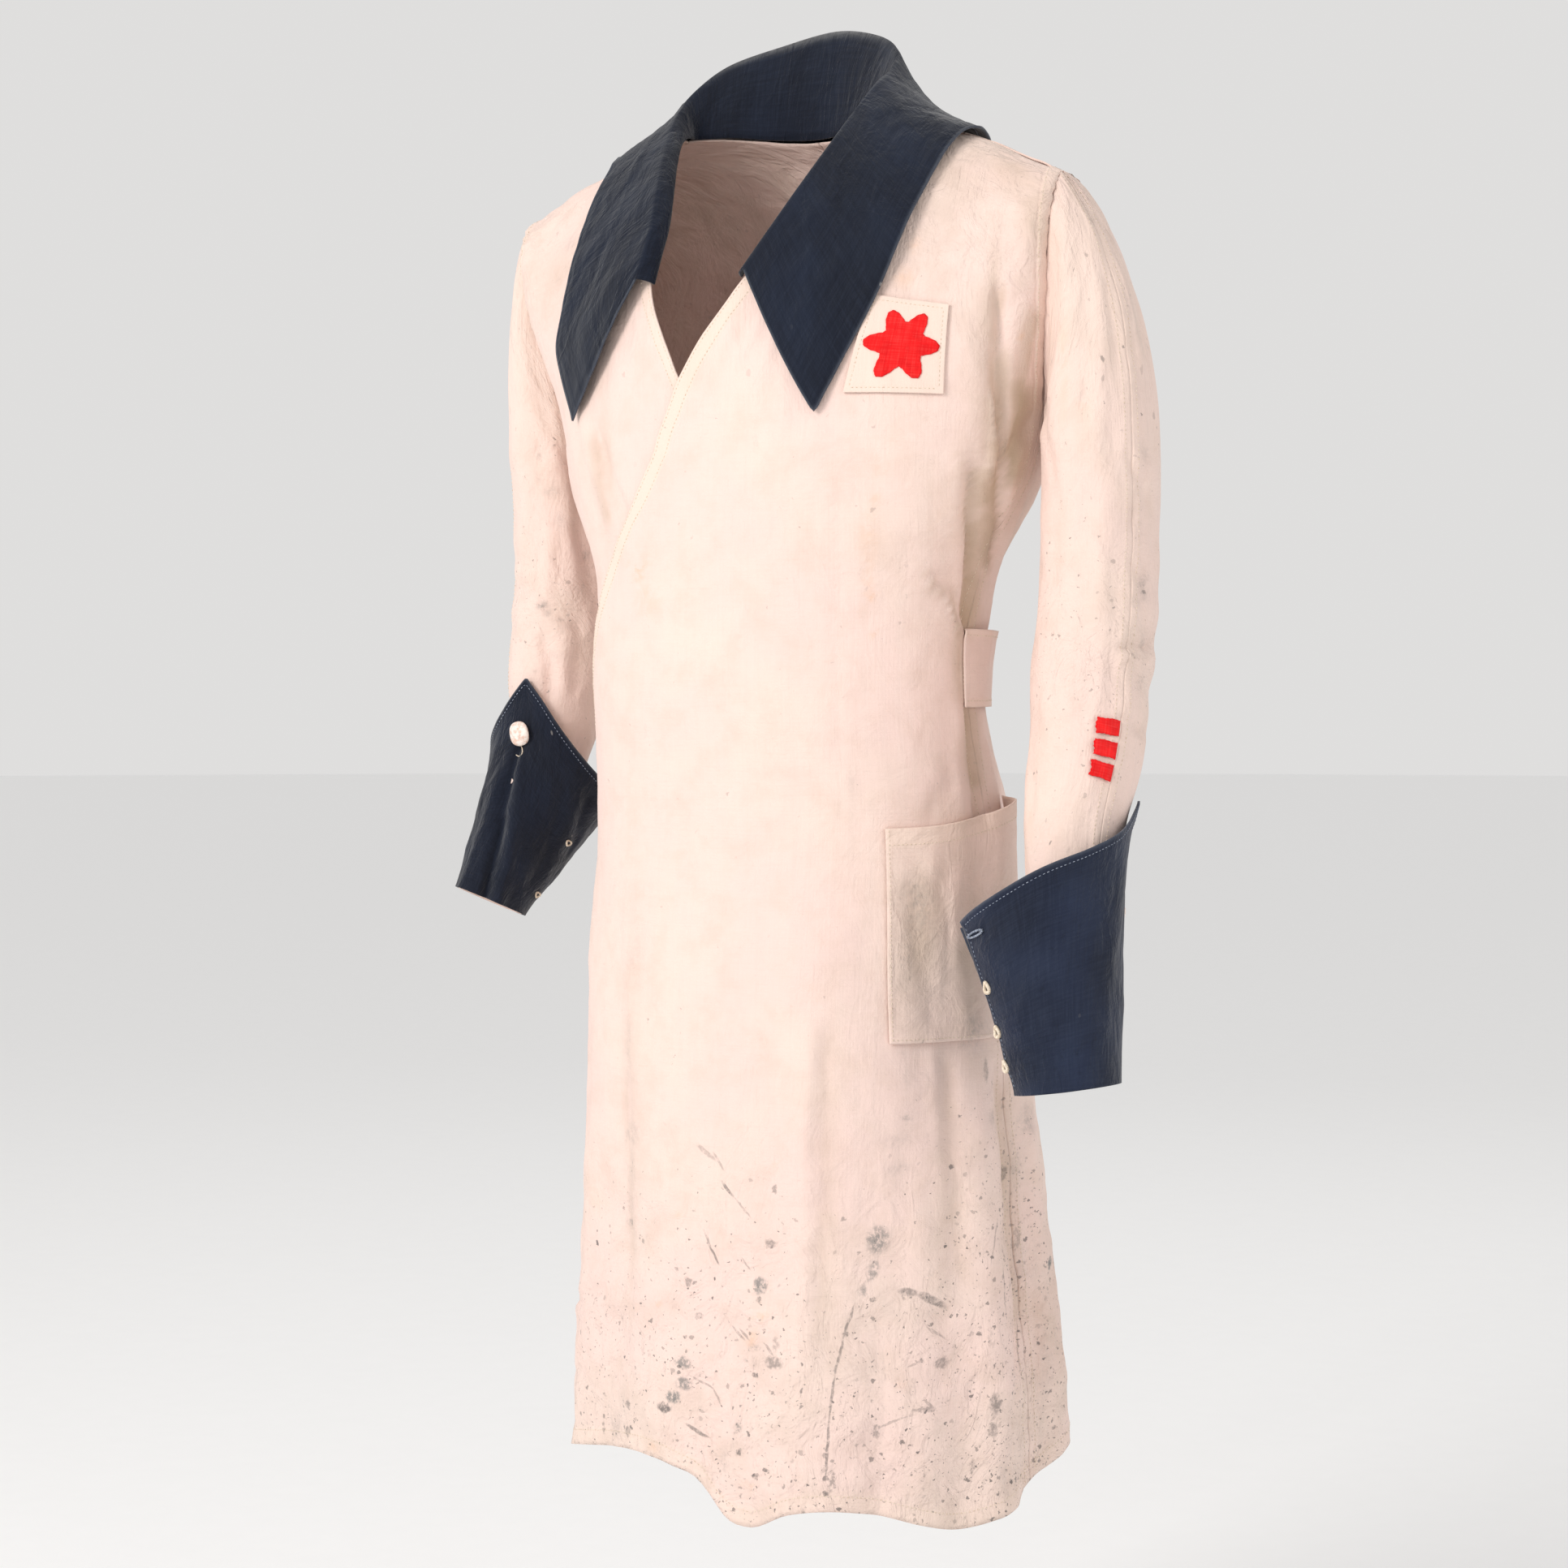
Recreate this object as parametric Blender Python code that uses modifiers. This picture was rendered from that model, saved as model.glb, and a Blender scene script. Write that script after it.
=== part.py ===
# Wrap-front uniform dress, filled out with no wearer.
# Metres, +Z up, the front faces -Y, the wearer's left is +X.
# The origin is on the body's middle line, level with the neck points of the shoulder seams.
import bpy
import math
import numpy as np
from mathutils import Matrix

# Main sizes
CLOTH = 0.0016
SEWN_CLEAR = 0.0010
NAVY_CLOTH = 0.0018
SEAM_GAP = 0.0006
BACK_SEAM_SHARE = 0.0006
SLEEVE_SEAM_GAP = 0.0009
LAP_STEP = 0.0040
ARMPIT_Z = -0.210
SHOULDER_SPAN = 0.200
SHOULDER_TIP_X = 0.225
SHOULDER_TIP_Z = -0.046
SHOULDER_RISE = 0.060
SHOULDER_SHIFT = -0.007
SHOULDER_SEAM_Y = 0.014
NECK_SHARE = 0.378
NAPE_SHARE = 0.80
ARMHOLE_FRONT_BOW = 0.032
ARMHOLE_BACK_BOW = 0.040
ARMHOLE_SPREAD = 0.014
ARMHOLE_GAP = 0.0015
SIDE_SEAM = 88.0
HEM_Z = -0.975

# Body rings from the hem up to the armpit
# height, half width, front depth, back depth, centre towards the back
BODY_ROWS = (
    (-1.000, 0.184, 0.172, 0.175, 0.052),
    (-0.900, 0.181, 0.165, 0.168, 0.050),
    (-0.750, 0.171, 0.152, 0.156, 0.040),
    (-0.610, 0.163, 0.138, 0.142, 0.030),
    (-0.490, 0.155, 0.120, 0.127, 0.024),
    (-0.400, 0.150, 0.108, 0.106, 0.006),
    (-0.345, 0.152, 0.111, 0.112, 0.010),
    (-0.310, 0.159, 0.116, 0.119, 0.015),
    (-0.284, 0.171, 0.120, 0.125, 0.019),
    (-0.258, 0.184, 0.122, 0.129, 0.022),
    (-0.234, 0.192, 0.122, 0.131, 0.024),
    (-0.210, 0.197, 0.121, 0.132, 0.025),
)

# Soft folds of the skirt and body: angle, width in degrees, height of the fold outwards, top, bottom
FOLDS = (
    (-72.0, 20.0, -0.009, -0.55, -0.99),
    (-48.0, 9.0, 0.005, -0.66, -0.99),
    (-27.0, 10.0, -0.006, -0.50, -0.90),
    (-8.0, 10.0, 0.004, -0.70, -0.99),
    (8.0, 9.0, -0.004, -0.74, -0.99),
    (27.0, 11.0, 0.005, -0.44, -0.99),
    (44.0, 9.0, -0.004, -0.66, -0.99),
    (62.0, 8.0, -0.007, -0.50, -0.99),
    (74.0, 7.0, 0.006, -0.52, -0.99),
    (87.0, 7.0, -0.008, -0.52, -0.99),
    (101.0, 8.0, 0.008, -0.50, -0.99),
    (118.0, 9.0, -0.006, -0.56, -0.99),
    (136.0, 10.0, 0.007, -0.52, -0.99),
    (156.0, 10.0, -0.006, -0.54, -0.99),
    (176.0, 11.0, 0.007, -0.50, -0.99),
    (197.0, 10.0, -0.006, -0.56, -0.99),
    (217.0, 10.0, 0.007, -0.52, -0.99),
    (238.0, 9.0, -0.006, -0.56, -0.99),
    (257.0, 9.0, 0.006, -0.54, -0.99),
)

# How far the hem hangs below or above its mean height: angle, drop
HEM_ROWS = (
    (-100.0, 0.012),
    (-67.0, 0.008),
    (-48.0, 0.022),
    (-26.5, 0.035),
    (-14.0, 0.039),
    (-4.0, 0.035),
    (2.5, 0.026),
    (7.0, 0.008),
    (14.0, 0.000),
    (22.5, 0.011),
    (41.5, 0.010),
    (52.0, 0.001),
    (61.0, -0.005),
    (71.0, -0.001),
    (85.0, 0.011),
    (95.0, 0.025),
    (108.0, 0.036),
    (135.0, 0.022),
    (180.0, 0.010),
    (215.0, 0.018),
    (245.0, 0.010),
    (260.0, 0.012),
)

# Free edge of the left front from the hem up to the neck: height, angle
LEFT_EDGE = (
    (-1.000, -74.0),
    (-0.800, -75.0),
    (-0.600, -76.0),
    (-0.450, -76.0),
    (-0.405, -71.0),
    (-0.370, -60.0),
    (-0.345, -49.0),
    (-0.315, -38.0),
    (-0.292, -29.0),
    (-0.273, -22.0),
    (-0.243, -15.5),
    (-0.209, -10.5),
    (-0.175, -0.5),
    (-0.154, 6.5),
    (-0.134, 12.0),
    (-0.110, 16.5),
    (-0.080, 19.8),
    (-0.045, 21.5),
    (-0.010, 22.2),
)

# Free edge of the right front, under the left one: height, angle
RIGHT_EDGE = (
    (-1.000, 50.0),
    (-0.450, 50.0),
    (-0.400, 46.0),
    (-0.350, 36.0),
    (-0.300, 22.0),
    (-0.250, 8.0),
    (-0.210, -3.5),
    (-0.176, -13.0),
    (-0.152, -17.5),
    (-0.138, -16.8),
    (-0.118, -15.8),
    (-0.098, -16.6),
    (-0.074, -18.4),
    (-0.045, -20.6),
    (-0.010, -22.2),
)

# Heights of the rows of every body panel, as a share from the hem to the armpit
LOWER_SHARES = (0.0, 0.07, 0.15, 0.24, 0.33, 0.42, 0.50, 0.57, 0.63, 0.68, 0.72, 0.76, 0.80, 0.85, 0.90, 0.95)
UPPER_SHARES = (0.0, 0.10, 0.22, 0.34, 0.46, 0.58, 0.70, 0.82, 0.92, 1.0)

# Arm lines: centre x, y, z, radius across, radius front to back
LEFT_ARM = (
    (0.228, 0.030, -0.125, 0.045, 0.058),
    (0.236, 0.034, -0.175, 0.041, 0.055),
    (0.238, 0.033, -0.240, 0.039, 0.050),
    (0.239, 0.029, -0.320, 0.039, 0.047),
    (0.238, 0.020, -0.385, 0.040, 0.046),
    (0.240, 0.003, -0.450, 0.038, 0.041),
    (0.240, -0.014, -0.500, 0.033, 0.036),
    (0.245, -0.027, -0.545, 0.030, 0.034),
    (0.253, -0.044, -0.603, 0.0295, 0.033),
    (0.263, -0.062, -0.666, 0.0295, 0.0315),
)
RIGHT_ARM = (
    (-0.220, 0.030, -0.125, 0.043, 0.056),
    (-0.231, 0.044, -0.175, 0.037, 0.050),
    (-0.236, 0.053, -0.240, 0.036, 0.047),
    (-0.236, 0.058, -0.300, 0.036, 0.046),
    (-0.240, 0.060, -0.355, 0.039, 0.045),
    (-0.242, 0.054, -0.400, 0.036, 0.041),
    (-0.243, 0.044, -0.445, 0.030, 0.036),
    (-0.256, 0.028, -0.505, 0.026, 0.032),
    (-0.273, 0.008, -0.566, 0.024, 0.030),
)
SLEEVE_SEAM = 62.0
SLEEVE_ROWS = 17
CAP_ROWS = 5
CAP_SHARE = 0.20
# How much the left wrist is cut level instead of square to the forearm
LEFT_WRIST_CUT = 0.27
LEFT_CAP_SWELL = 0.32
RIGHT_CAP_SWELL = -0.04

# Cuffs by angle away from the apex: angle, length of the cuff there,
# stand-off at the top edge, stand-off at the wrist
LEFT_CUFF_ROWS = (
    (0.0, 0.206, 0.001, 0.000),
    (15.0, 0.193, 0.002, 0.000),
    (40.0, 0.173, 0.006, 0.000),
    (75.0, 0.153, 0.012, 0.000),
    (110.0, 0.137, 0.020, 0.001),
    (145.0, 0.119, 0.030, 0.004),
    (174.0, 0.108, 0.040, 0.006),
)
RIGHT_CUFF_ROWS = (
    (0.0, 0.175, 0.001, 0.000),
    (15.0, 0.162, 0.002, 0.000),
    (40.0, 0.141, 0.006, 0.000),
    (75.0, 0.122, 0.012, 0.000),
    (110.0, 0.111, 0.021, 0.000),
    (145.0, 0.105, 0.033, 0.000),
    (174.0, 0.102, 0.046, 0.000),
)
LEFT_CUFF_APEX = 118.0
RIGHT_CUFF_APEX = 4.0
CUFF_COLUMNS = 26
CUFF_LEVELS = 5
CUFF_CLEAR = 0.0018

# Collar stations from the left corner round the neck to the right corner
# neck share, neck height, outer share, outer height, fold x, fold y, fold z
COLLAR_ROWS = (
    (0.111, 0.278, 0.407, -0.015, 0.026, -0.095, -0.112),
    (0.215, 0.385, 0.500, 0.100, 0.046, -0.085, -0.080),
    (0.296, 0.510, 0.590, 0.240, 0.061, -0.070, -0.050),
    (0.340, 0.650, 0.650, 0.420, 0.0725, -0.047, -0.018),
    (0.366, 0.820, 0.690, 0.620, 0.077, -0.020, 0.010),
    (0.375, 0.980, 0.705, 0.840, 0.079, 0.000, 0.028),
    (0.368, 1.016, 0.700, 1.030, 0.078, 0.020, 0.040),
    (0.290, 1.084, 0.620, 1.300, 0.068, 0.046, 0.060),
    (0.160, 1.165, 0.360, 1.480, 0.040, 0.066, 0.077),
    (0.000, 1.200, 0.000, 1.540, 0.000, 0.074, 0.086),
    (-0.160, 1.165, -0.360, 1.480, -0.043, 0.066, 0.078),
    (-0.290, 1.084, -0.600, 1.300, -0.076, 0.046, 0.064),
    (-0.366, 1.016, -0.640, 1.060, -0.090, 0.020, 0.042),
    (-0.372, 0.970, -0.610, 0.870, -0.090, 0.000, 0.024),
    (-0.352, 0.820, -0.610, 0.720, -0.084, -0.022, 0.004),
    (-0.314, 0.660, -0.650, 0.580, -0.074, -0.045, -0.018),
    (-0.283, 0.530, -0.700, 0.430, -0.065, -0.066, -0.044),
    (-0.270, 0.430, -0.745, 0.310, -0.060, -0.080, -0.070),
    (-0.286, 0.350, -0.790, 0.180, -0.062, -0.088, -0.094),
    (-0.302, 0.288, -0.682, 0.010, -0.067, -0.090, -0.111),
)
COLLAR_STATIONS = 36
COLLAR_CLEAR = 0.0068
STAND_SEAT = 0.0007
STAND_LEAN = 0.003

# Belt round the back, from the left side seam to the right one
BELT_TOP_Z = -0.360
BELT_BOTTOM_Z = -0.415
BELT_START = 84.0
BELT_END = 276.0
BELT_CLEAR = 0.0016
BELT_STAND_OFF = 0.004

# Patch pocket on the left hip: angles and heights of its sides
POCKET_START = 48.0
POCKET_END = 104.0
POCKET_TOP_Z = -0.498
POCKET_BOTTOM_Z = -0.645
POCKET_TOP_RISE = 0.020
POCKET_GAPE = 0.012

# Breast patch on the left front: angles and heights of its corners
PATCH_BOTTOM_Z = -0.204
PATCH_TOP_Z = -0.161
PATCH_BOTTOM_ANGLES = (30.0, 53.0)
PATCH_TOP_ANGLES = (35.0, 53.5)
PATCH_CLEAR = 0.0022

# Service bars on the left sleeve: position along the sleeve rows
BAR_STATIONS = ((0.556, 0.576), (0.583, 0.603), (0.610, 0.630))
BAR_START = 36.0
BAR_END = 59.5
BAR_CLEAR = 0.0019

# Cuff buttons
BUTTON_RADIUS = 0.0095
BUTTON_PLACE = 0.750
LEFT_BUTTON_OFF = 48.0
RIGHT_BUTTON_OFF = 0.0
BUTTON_SHANK_RADIUS = 0.0022


def clear_scene():
    for item in list(bpy.data.objects):
        bpy.data.objects.remove(item, do_unlink=True)


def new_collection(name):
    collection = bpy.data.collections.new(name)
    bpy.context.scene.collection.children.link(collection)
    return collection


def new_material(name, colour, roughness):
    material = bpy.data.materials.new(name)
    material.use_nodes = True
    shader = material.node_tree.nodes["Principled BSDF"]
    shader.inputs["Base Color"].default_value = (*colour, 1.0)
    shader.inputs["Roughness"].default_value = roughness
    material.diffuse_color = (*colour, 1.0)
    return material


def smooth_value(position, rows, column):
    # Cubic through the rows of a table, with the slopes of its neighbours
    known = np.array([row[0] for row in rows], dtype=float)
    values = np.array([row[column] for row in rows], dtype=float)
    slopes = np.gradient(values, known)
    position = np.clip(np.asarray(position, dtype=float), known[0], known[-1])
    index = np.clip(np.searchsorted(known, position) - 1, 0, len(known) - 2)
    width = known[index + 1] - known[index]
    share = (position - known[index]) / width
    square = share * share
    cube = square * share
    return (
        values[index] * (2.0 * cube - 3.0 * square + 1.0)
        + values[index + 1] * (3.0 * square - 2.0 * cube)
        + slopes[index] * width * (cube - 2.0 * square + share)
        + slopes[index + 1] * width * (cube - square)
    )


def ramp(value, start, end):
    # Smooth step from 0 at start to 1 at end
    share = np.clip((value - start) / (end - start), 0.0, 1.0)
    return share * share * (3.0 - 2.0 * share)


def wrap_angle(angle):
    return (angle + 100.0) % 360.0 - 100.0


def hem_height(angle):
    return HEM_Z + smooth_value(wrap_angle(angle), HEM_ROWS, 1)


def ring_point(angle, height):
    turn = np.radians(angle)
    half_width = smooth_value(height, BODY_ROWS, 1)
    front = smooth_value(height, BODY_ROWS, 2)
    back = smooth_value(height, BODY_ROWS, 3)
    centre = smooth_value(height, BODY_ROWS, 4)
    depth = np.where(np.cos(turn) > 0.0, front, back)
    return half_width * np.sin(turn), centre - depth * np.cos(turn)


def body_base(angle, height):
    # Below the armpit a ring; above it a quarter arc over to the shoulder line
    angle = np.asarray(angle, dtype=float)
    height = np.asarray(height, dtype=float)
    angle, height = np.broadcast_arrays(angle, height)
    ring_height = np.minimum(height, ARMPIT_Z)
    x, y = ring_point(angle, ring_height)
    share = np.clip((height - ARMPIT_Z) / SHOULDER_SPAN, 0.0, 1.05)
    across = np.sin(np.radians(angle))
    facing = np.cos(np.radians(angle))
    arc = np.minimum(share, 1.0) * math.pi / 2.0
    top_x = SHOULDER_TIP_X * across + SHOULDER_SHIFT
    top_y = SHOULDER_SEAM_Y - SEAM_GAP * np.sign(facing)
    top_z = SHOULDER_TIP_Z + SHOULDER_RISE * (1.0 - across ** 2)
    rim = np.abs(across) ** 8 * np.sin(math.pi * np.minimum(share, 1.0))
    bow = np.where(facing > 0.0, -ARMHOLE_FRONT_BOW, ARMHOLE_BACK_BOW)
    x = x + (top_x - x) * share ** 1.5 + ARMHOLE_SPREAD * rim * np.sign(across)
    y = y + (top_y - y) * (1.0 - np.cos(arc)) + bow * rim
    z = ring_height + (top_z - ARMPIT_Z) * np.sin(arc)
    return np.stack([x, y, z], axis=-1)


def fold_height(angle, height):
    total = np.zeros(np.broadcast(angle, height).shape)
    for middle, width, rise, top, bottom in FOLDS:
        off = wrap_angle(np.asarray(angle) - middle + 80.0) - 80.0
        grow = ramp(-np.asarray(height), -top, -bottom) ** 0.7
        total = total + rise * np.exp(-(off / width) ** 2) * grow
    return total


def body_point(angle, height, out=0.0):
    step = 0.4
    rise = 0.002
    base = body_base(angle, height)
    along = body_base(angle + step, height) - body_base(angle - step, height)
    up = body_base(angle, height + rise) - body_base(angle, height - rise)
    normal = np.cross(along, up)
    length = np.linalg.norm(normal, axis=-1, keepdims=True)
    normal = normal / np.maximum(length, 1e-12)
    lift = fold_height(angle, height) + out
    return base + normal * lift[..., None]


def panel_heights(angle):
    # Row heights of a panel column: lower rows hang from the armpit to the hem
    hem = hem_height(angle)
    lower = [hem + (ARMPIT_Z - hem) * share for share in LOWER_SHARES]
    top = np.ones_like(hem)
    upper = [ARMPIT_Z + SHOULDER_SPAN * share * top for share in UPPER_SHARES]
    return lower + upper


def lap_out(angle, height):
    side = 1.0 - ramp(angle, 56.0, 82.0)
    chest = 1.0 - ramp(height, -0.185, -0.130)
    return LAP_STEP * side * chest


def sheet(name, grid, material, collection, thickness, outward, closed=False):
    # Turns a grid of points, rows by columns, into a cloth wall inside its outer face
    rows, columns = grid.shape[:2]
    faces = []
    last = columns if closed else columns - 1
    for row in range(rows - 1):
        for column in range(last):
            near = (column + 1) % columns
            face = (
                row * columns + column,
                row * columns + near,
                (row + 1) * columns + near,
                (row + 1) * columns + column,
            )
            faces.append(face if outward > 0 else face[::-1])
    mesh = bpy.data.meshes.new(name)
    mesh.from_pydata([tuple(point) for point in grid.reshape(-1, 3)], [], faces)
    mesh.update()
    item = bpy.data.objects.new(name, mesh)
    collection.objects.link(item)
    mesh.materials.append(material)
    wall = item.modifiers.new("wall", "SOLIDIFY")
    wall.thickness = thickness
    wall.offset = -1.0
    wall.use_rim = True
    return item


def panel_grid(start, end, columns, out_rule):
    # start and end give the edge angles at a height
    share = np.linspace(0.0, 1.0, columns)
    rows = []
    guess = np.full(columns, 0.5 * (start(-0.6) + end(-0.6)))
    count = len(LOWER_SHARES) + len(UPPER_SHARES)
    for index in range(count):
        angle = guess
        for _ in range(4):
            height = panel_heights(angle)[index]
            first = start(height)
            final = end(height)
            angle = first + (final - first) * share
        height = panel_heights(angle)[index]
        rows.append(body_point(angle, height, out_rule(angle, height)))
    return np.array(rows)


def left_edge(height):
    return smooth_value(height, LEFT_EDGE, 1)


def right_edge(height):
    return smooth_value(height, RIGHT_EDGE, 1)


def seam_angle(height):
    return np.full(np.shape(height), SIDE_SEAM + 2.0 * ramp(height, -0.30, ARMPIT_Z))


def build_fronts(cloth, collection):
    trim = math.degrees(SEAM_GAP / 0.16)
    grid = panel_grid(left_edge, lambda h: seam_angle(h) - trim, 29, lap_out)
    sheet("front_left", grid, cloth, collection, CLOTH, 1)
    grid = panel_grid(
        lambda h: -seam_angle(h) + trim,
        right_edge,
        24,
        lambda angle, height: np.zeros(np.shape(angle)),
    )
    sheet("front_right", grid, cloth, collection, CLOTH, 1)


def back_grid(first, final, columns):
    # first and final are shares of the way round the back, from the left seam to the right one
    trim = math.degrees(SEAM_GAP / 0.16)
    share = np.linspace(first, final, columns)
    rows = []
    count = len(LOWER_SHARES) + len(UPPER_SHARES)
    for index in range(count):
        angle = np.full(share.shape, 180.0)
        for _ in range(4):
            height = panel_heights(angle)[index]
            side = seam_angle(height) + trim
            angle = side + (360.0 - 2.0 * side) * share
        height = panel_heights(angle)[index]
        across = np.abs(np.sin(np.radians(angle)))
        nape = NAPE_SHARE + (1.0 - NAPE_SHARE) * np.minimum(across / NECK_SHARE, 1.0) ** 2
        upper = height > ARMPIT_Z
        height = np.where(upper, ARMPIT_Z + (height - ARMPIT_Z) * nape, height)
        rows.append(body_point(angle, height, 0.0 * angle))
    return np.array(rows)


def build_back(cloth, collection):
    # Two halves with a seam down the middle
    grid = back_grid(0.0, 0.5 - BACK_SEAM_SHARE, 16)
    sheet("back_left", grid, cloth, collection, CLOTH, 1)
    grid = back_grid(0.5 + BACK_SEAM_SHARE, 1.0, 16)
    sheet("back_right", grid, cloth, collection, CLOTH, 1)


def share_of_arm(rows):
    centres = np.array([row[:3] for row in rows])
    steps = np.linalg.norm(np.diff(centres, axis=0), axis=1)
    along = np.concatenate([[0.0], np.cumsum(steps)])
    return along / along[-1]


def arm_section(rows, share):
    known = share_of_arm(rows)
    table = [(place, *row) for place, row in zip(known, rows)]
    centre = np.array([smooth_value(share, table, column) for column in (1, 2, 3)])
    ahead = np.array([smooth_value(min(share + 0.02, 1.0), table, column) for column in (1, 2, 3)])
    behind = np.array([smooth_value(max(share - 0.02, 0.0), table, column) for column in (1, 2, 3)])
    tangent = ahead - behind
    tangent = tangent / np.linalg.norm(tangent)
    side = np.array([1.0, 0.0, 0.0])
    side = side - tangent * side.dot(tangent)
    side = side / np.linalg.norm(side)
    front = np.cross(tangent, side)
    if front[1] > 0.0:
        front = -front
    across = float(smooth_value(share, table, 4))
    deep = float(smooth_value(share, table, 5))
    return centre, side, front, tangent, across, deep


def arm_ring(rows, share, angle, out=0.0):
    centre, side, front, tangent, across, deep = arm_section(rows, share)
    turn = np.radians(angle)
    x = (across + out) * np.sin(turn)
    y = (deep + out) * np.cos(turn)
    cut = LEFT_WRIST_CUT * ramp(share, 0.82, 1.0) if rows is LEFT_ARM else 0.0
    return centre + x[:, None] * side + y[:, None] * front + (cut * y)[:, None] * tangent


def armhole_ring(sign, angle):
    # The armhole loop of the panels, read at the sleeve's own angles
    turn = np.radians(angle)
    share = 0.5 * (1.0 + sign * np.sin(turn))
    height = ARMPIT_Z + SHOULDER_SPAN * share
    front = np.cos(turn) >= 0.0
    body_angle = sign * np.where(front, 89.9, 90.1)
    loop = body_point(body_angle, height, 0.0 * height)
    return loop + np.array([sign * ARMHOLE_GAP, 0.0, 0.0])


def sleeve_point(rows, sign, share, angle, out=0.0):
    # Down to CAP_SHARE a smooth path from the armhole loop to the first whole ring
    swell = LEFT_CAP_SWELL if sign > 0.0 else RIGHT_CAP_SWELL
    if share >= CAP_SHARE:
        return arm_ring(rows, share, angle, out)
    loop = armhole_ring(sign, angle)
    ring = arm_ring(rows, CAP_SHARE, angle, out)
    tangent = arm_section(rows, CAP_SHARE)[3]
    high = 0.5 * (1.0 + sign * np.sin(np.radians(angle)))
    leave = np.stack([
        sign * (0.30 + swell * high),
        -0.15 * np.cos(np.radians(angle)),
        -1.0 + 0.45 * high,
    ], axis=-1)
    reach = np.linalg.norm(ring - loop, axis=-1, keepdims=True)
    step = share / CAP_SHARE
    square = step * step
    cube = square * step
    return (
        loop * (2.0 * cube - 3.0 * square + 1.0)
        + leave * reach * (cube - 2.0 * square + step)
        + ring * (3.0 * square - 2.0 * cube)
        + tangent * reach * (cube - square)
    )


def build_sleeve(side_name, rows, sign, cloth, collection):
    shares = np.concatenate([
        np.linspace(0.0, CAP_SHARE, CAP_ROWS, endpoint=False),
        np.linspace(CAP_SHARE, 1.0, SLEEVE_ROWS - CAP_ROWS),
    ])
    trim = math.degrees(SLEEVE_SEAM_GAP / 0.04)
    for half, first in (("front", SLEEVE_SEAM - 180.0), ("back", SLEEVE_SEAM)):
        angles = sign * np.linspace(first + trim, first + 180.0 - trim, 13)
        grid = np.array([sleeve_point(rows, sign, share, angles) for share in shares])
        sheet("sleeve_" + side_name + "_" + half, grid, cloth, collection, CLOTH, -sign)


def cuff_point(rows, table, apex, share_up, off):
    # share_up runs from the wrist to the top edge, off is the angle away from the apex
    length, stand, wrist = (float(smooth_value(abs(off), table, column)) for column in (1, 2, 3))
    centres = np.array([row[:3] for row in rows])
    arm_length = float(np.sum(np.linalg.norm(np.diff(centres, axis=0), axis=1)))
    share = 1.0 - share_up * length / arm_length
    loose = CUFF_CLEAR * float(ramp(share_up, 0.0, 0.3))
    out = NAVY_CLOTH + SEWN_CLEAR + loose + stand * share_up ** 1.3 + wrist * (1.0 - share_up)
    return arm_ring(rows, share, np.array([apex + off]), out)[0]


def build_cuff(side_name, rows, table, apex, navy, collection):
    offs = np.linspace(-table[-1][0], table[-1][0], CUFF_COLUMNS)
    levels = np.linspace(0.0, 1.0, CUFF_LEVELS + 1)
    grid = np.array([[cuff_point(rows, table, apex, level, off) for off in offs] for level in levels])
    sheet("cuff_" + side_name, grid, navy, collection, NAVY_CLOTH, 1)


def neck_surface(across, place, out=0.0):
    # across is the signed share of the shoulder width, place runs 0 to 1 up the front
    # and 1 to 2 down the back
    front_angle = np.degrees(np.arcsin(across))
    if place <= 1.0:
        angle = front_angle
        height = ARMPIT_Z + SHOULDER_SPAN * place
    else:
        angle = 180.0 - front_angle
        height = ARMPIT_Z + SHOULDER_SPAN * (2.0 - place)
    return body_point(np.array([angle]), np.array([height]), np.array([out]))[0]


def build_collar(navy, collection):
    table = [(index, *row) for index, row in enumerate(COLLAR_ROWS)]
    stations = np.linspace(0, len(COLLAR_ROWS) - 1, COLLAR_STATIONS)
    falls = (0.0, 0.10, 0.25, 0.45, 0.72, 1.0)
    columns = []
    for station in stations:
        values = [float(smooth_value(station, table, column)) for column in range(1, 8)]
        neck_across, neck_place, outer_across, outer_place = values[:4]
        fold = np.array(values[4:])
        neck = neck_surface(neck_across, neck_place, 0.0)
        seat = neck_surface(neck_across, neck_place, COLLAR_CLEAR)
        lift = fold - seat
        back = float(ramp(neck_place, 1.02, 1.16))
        past = neck_surface(neck_across * (1.0 - 0.05 * (1.0 - back)), neck_place - 0.02 * back) - neck
        past = past / np.linalg.norm(past)
        foot = neck + past * (NAVY_CLOTH + STAND_SEAT * (1.0 + 0.3 * back))
        line = [foot, foot * 0.45 + (fold + past * STAND_LEAN) * 0.55]
        for share in falls:
            across = neck_across + (outer_across - neck_across) * share
            place = neck_place + (outer_place - neck_place) * share
            point = neck_surface(across, place, COLLAR_CLEAR)
            line.append(point + lift * (1.0 - share) ** 2.2)
        columns.append(line)
    grid = np.array(columns).transpose(1, 0, 2)
    sheet("collar", grid, navy, collection, NAVY_CLOTH, 1)


def build_belt(cloth, collection):
    angles = np.linspace(BELT_START, BELT_END, 27)
    levels = np.linspace(BELT_BOTTOM_Z, BELT_TOP_Z, 3)
    rows = []
    for level in levels:
        share = (level - BELT_BOTTOM_Z) / (BELT_TOP_Z - BELT_BOTTOM_Z)
        loose = ramp(angles, BELT_START + 3.0, BELT_START + 18.0)
        loose = loose * (1.0 - ramp(angles, BELT_END - 18.0, BELT_END - 3.0))
        stand = CLOTH + SEWN_CLEAR + (BELT_CLEAR + BELT_STAND_OFF * share) * loose
        rows.append(body_point(angles, np.full(angles.shape, level), stand))
    sheet("belt", np.array(rows), cloth, collection, CLOTH, 1)


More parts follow.
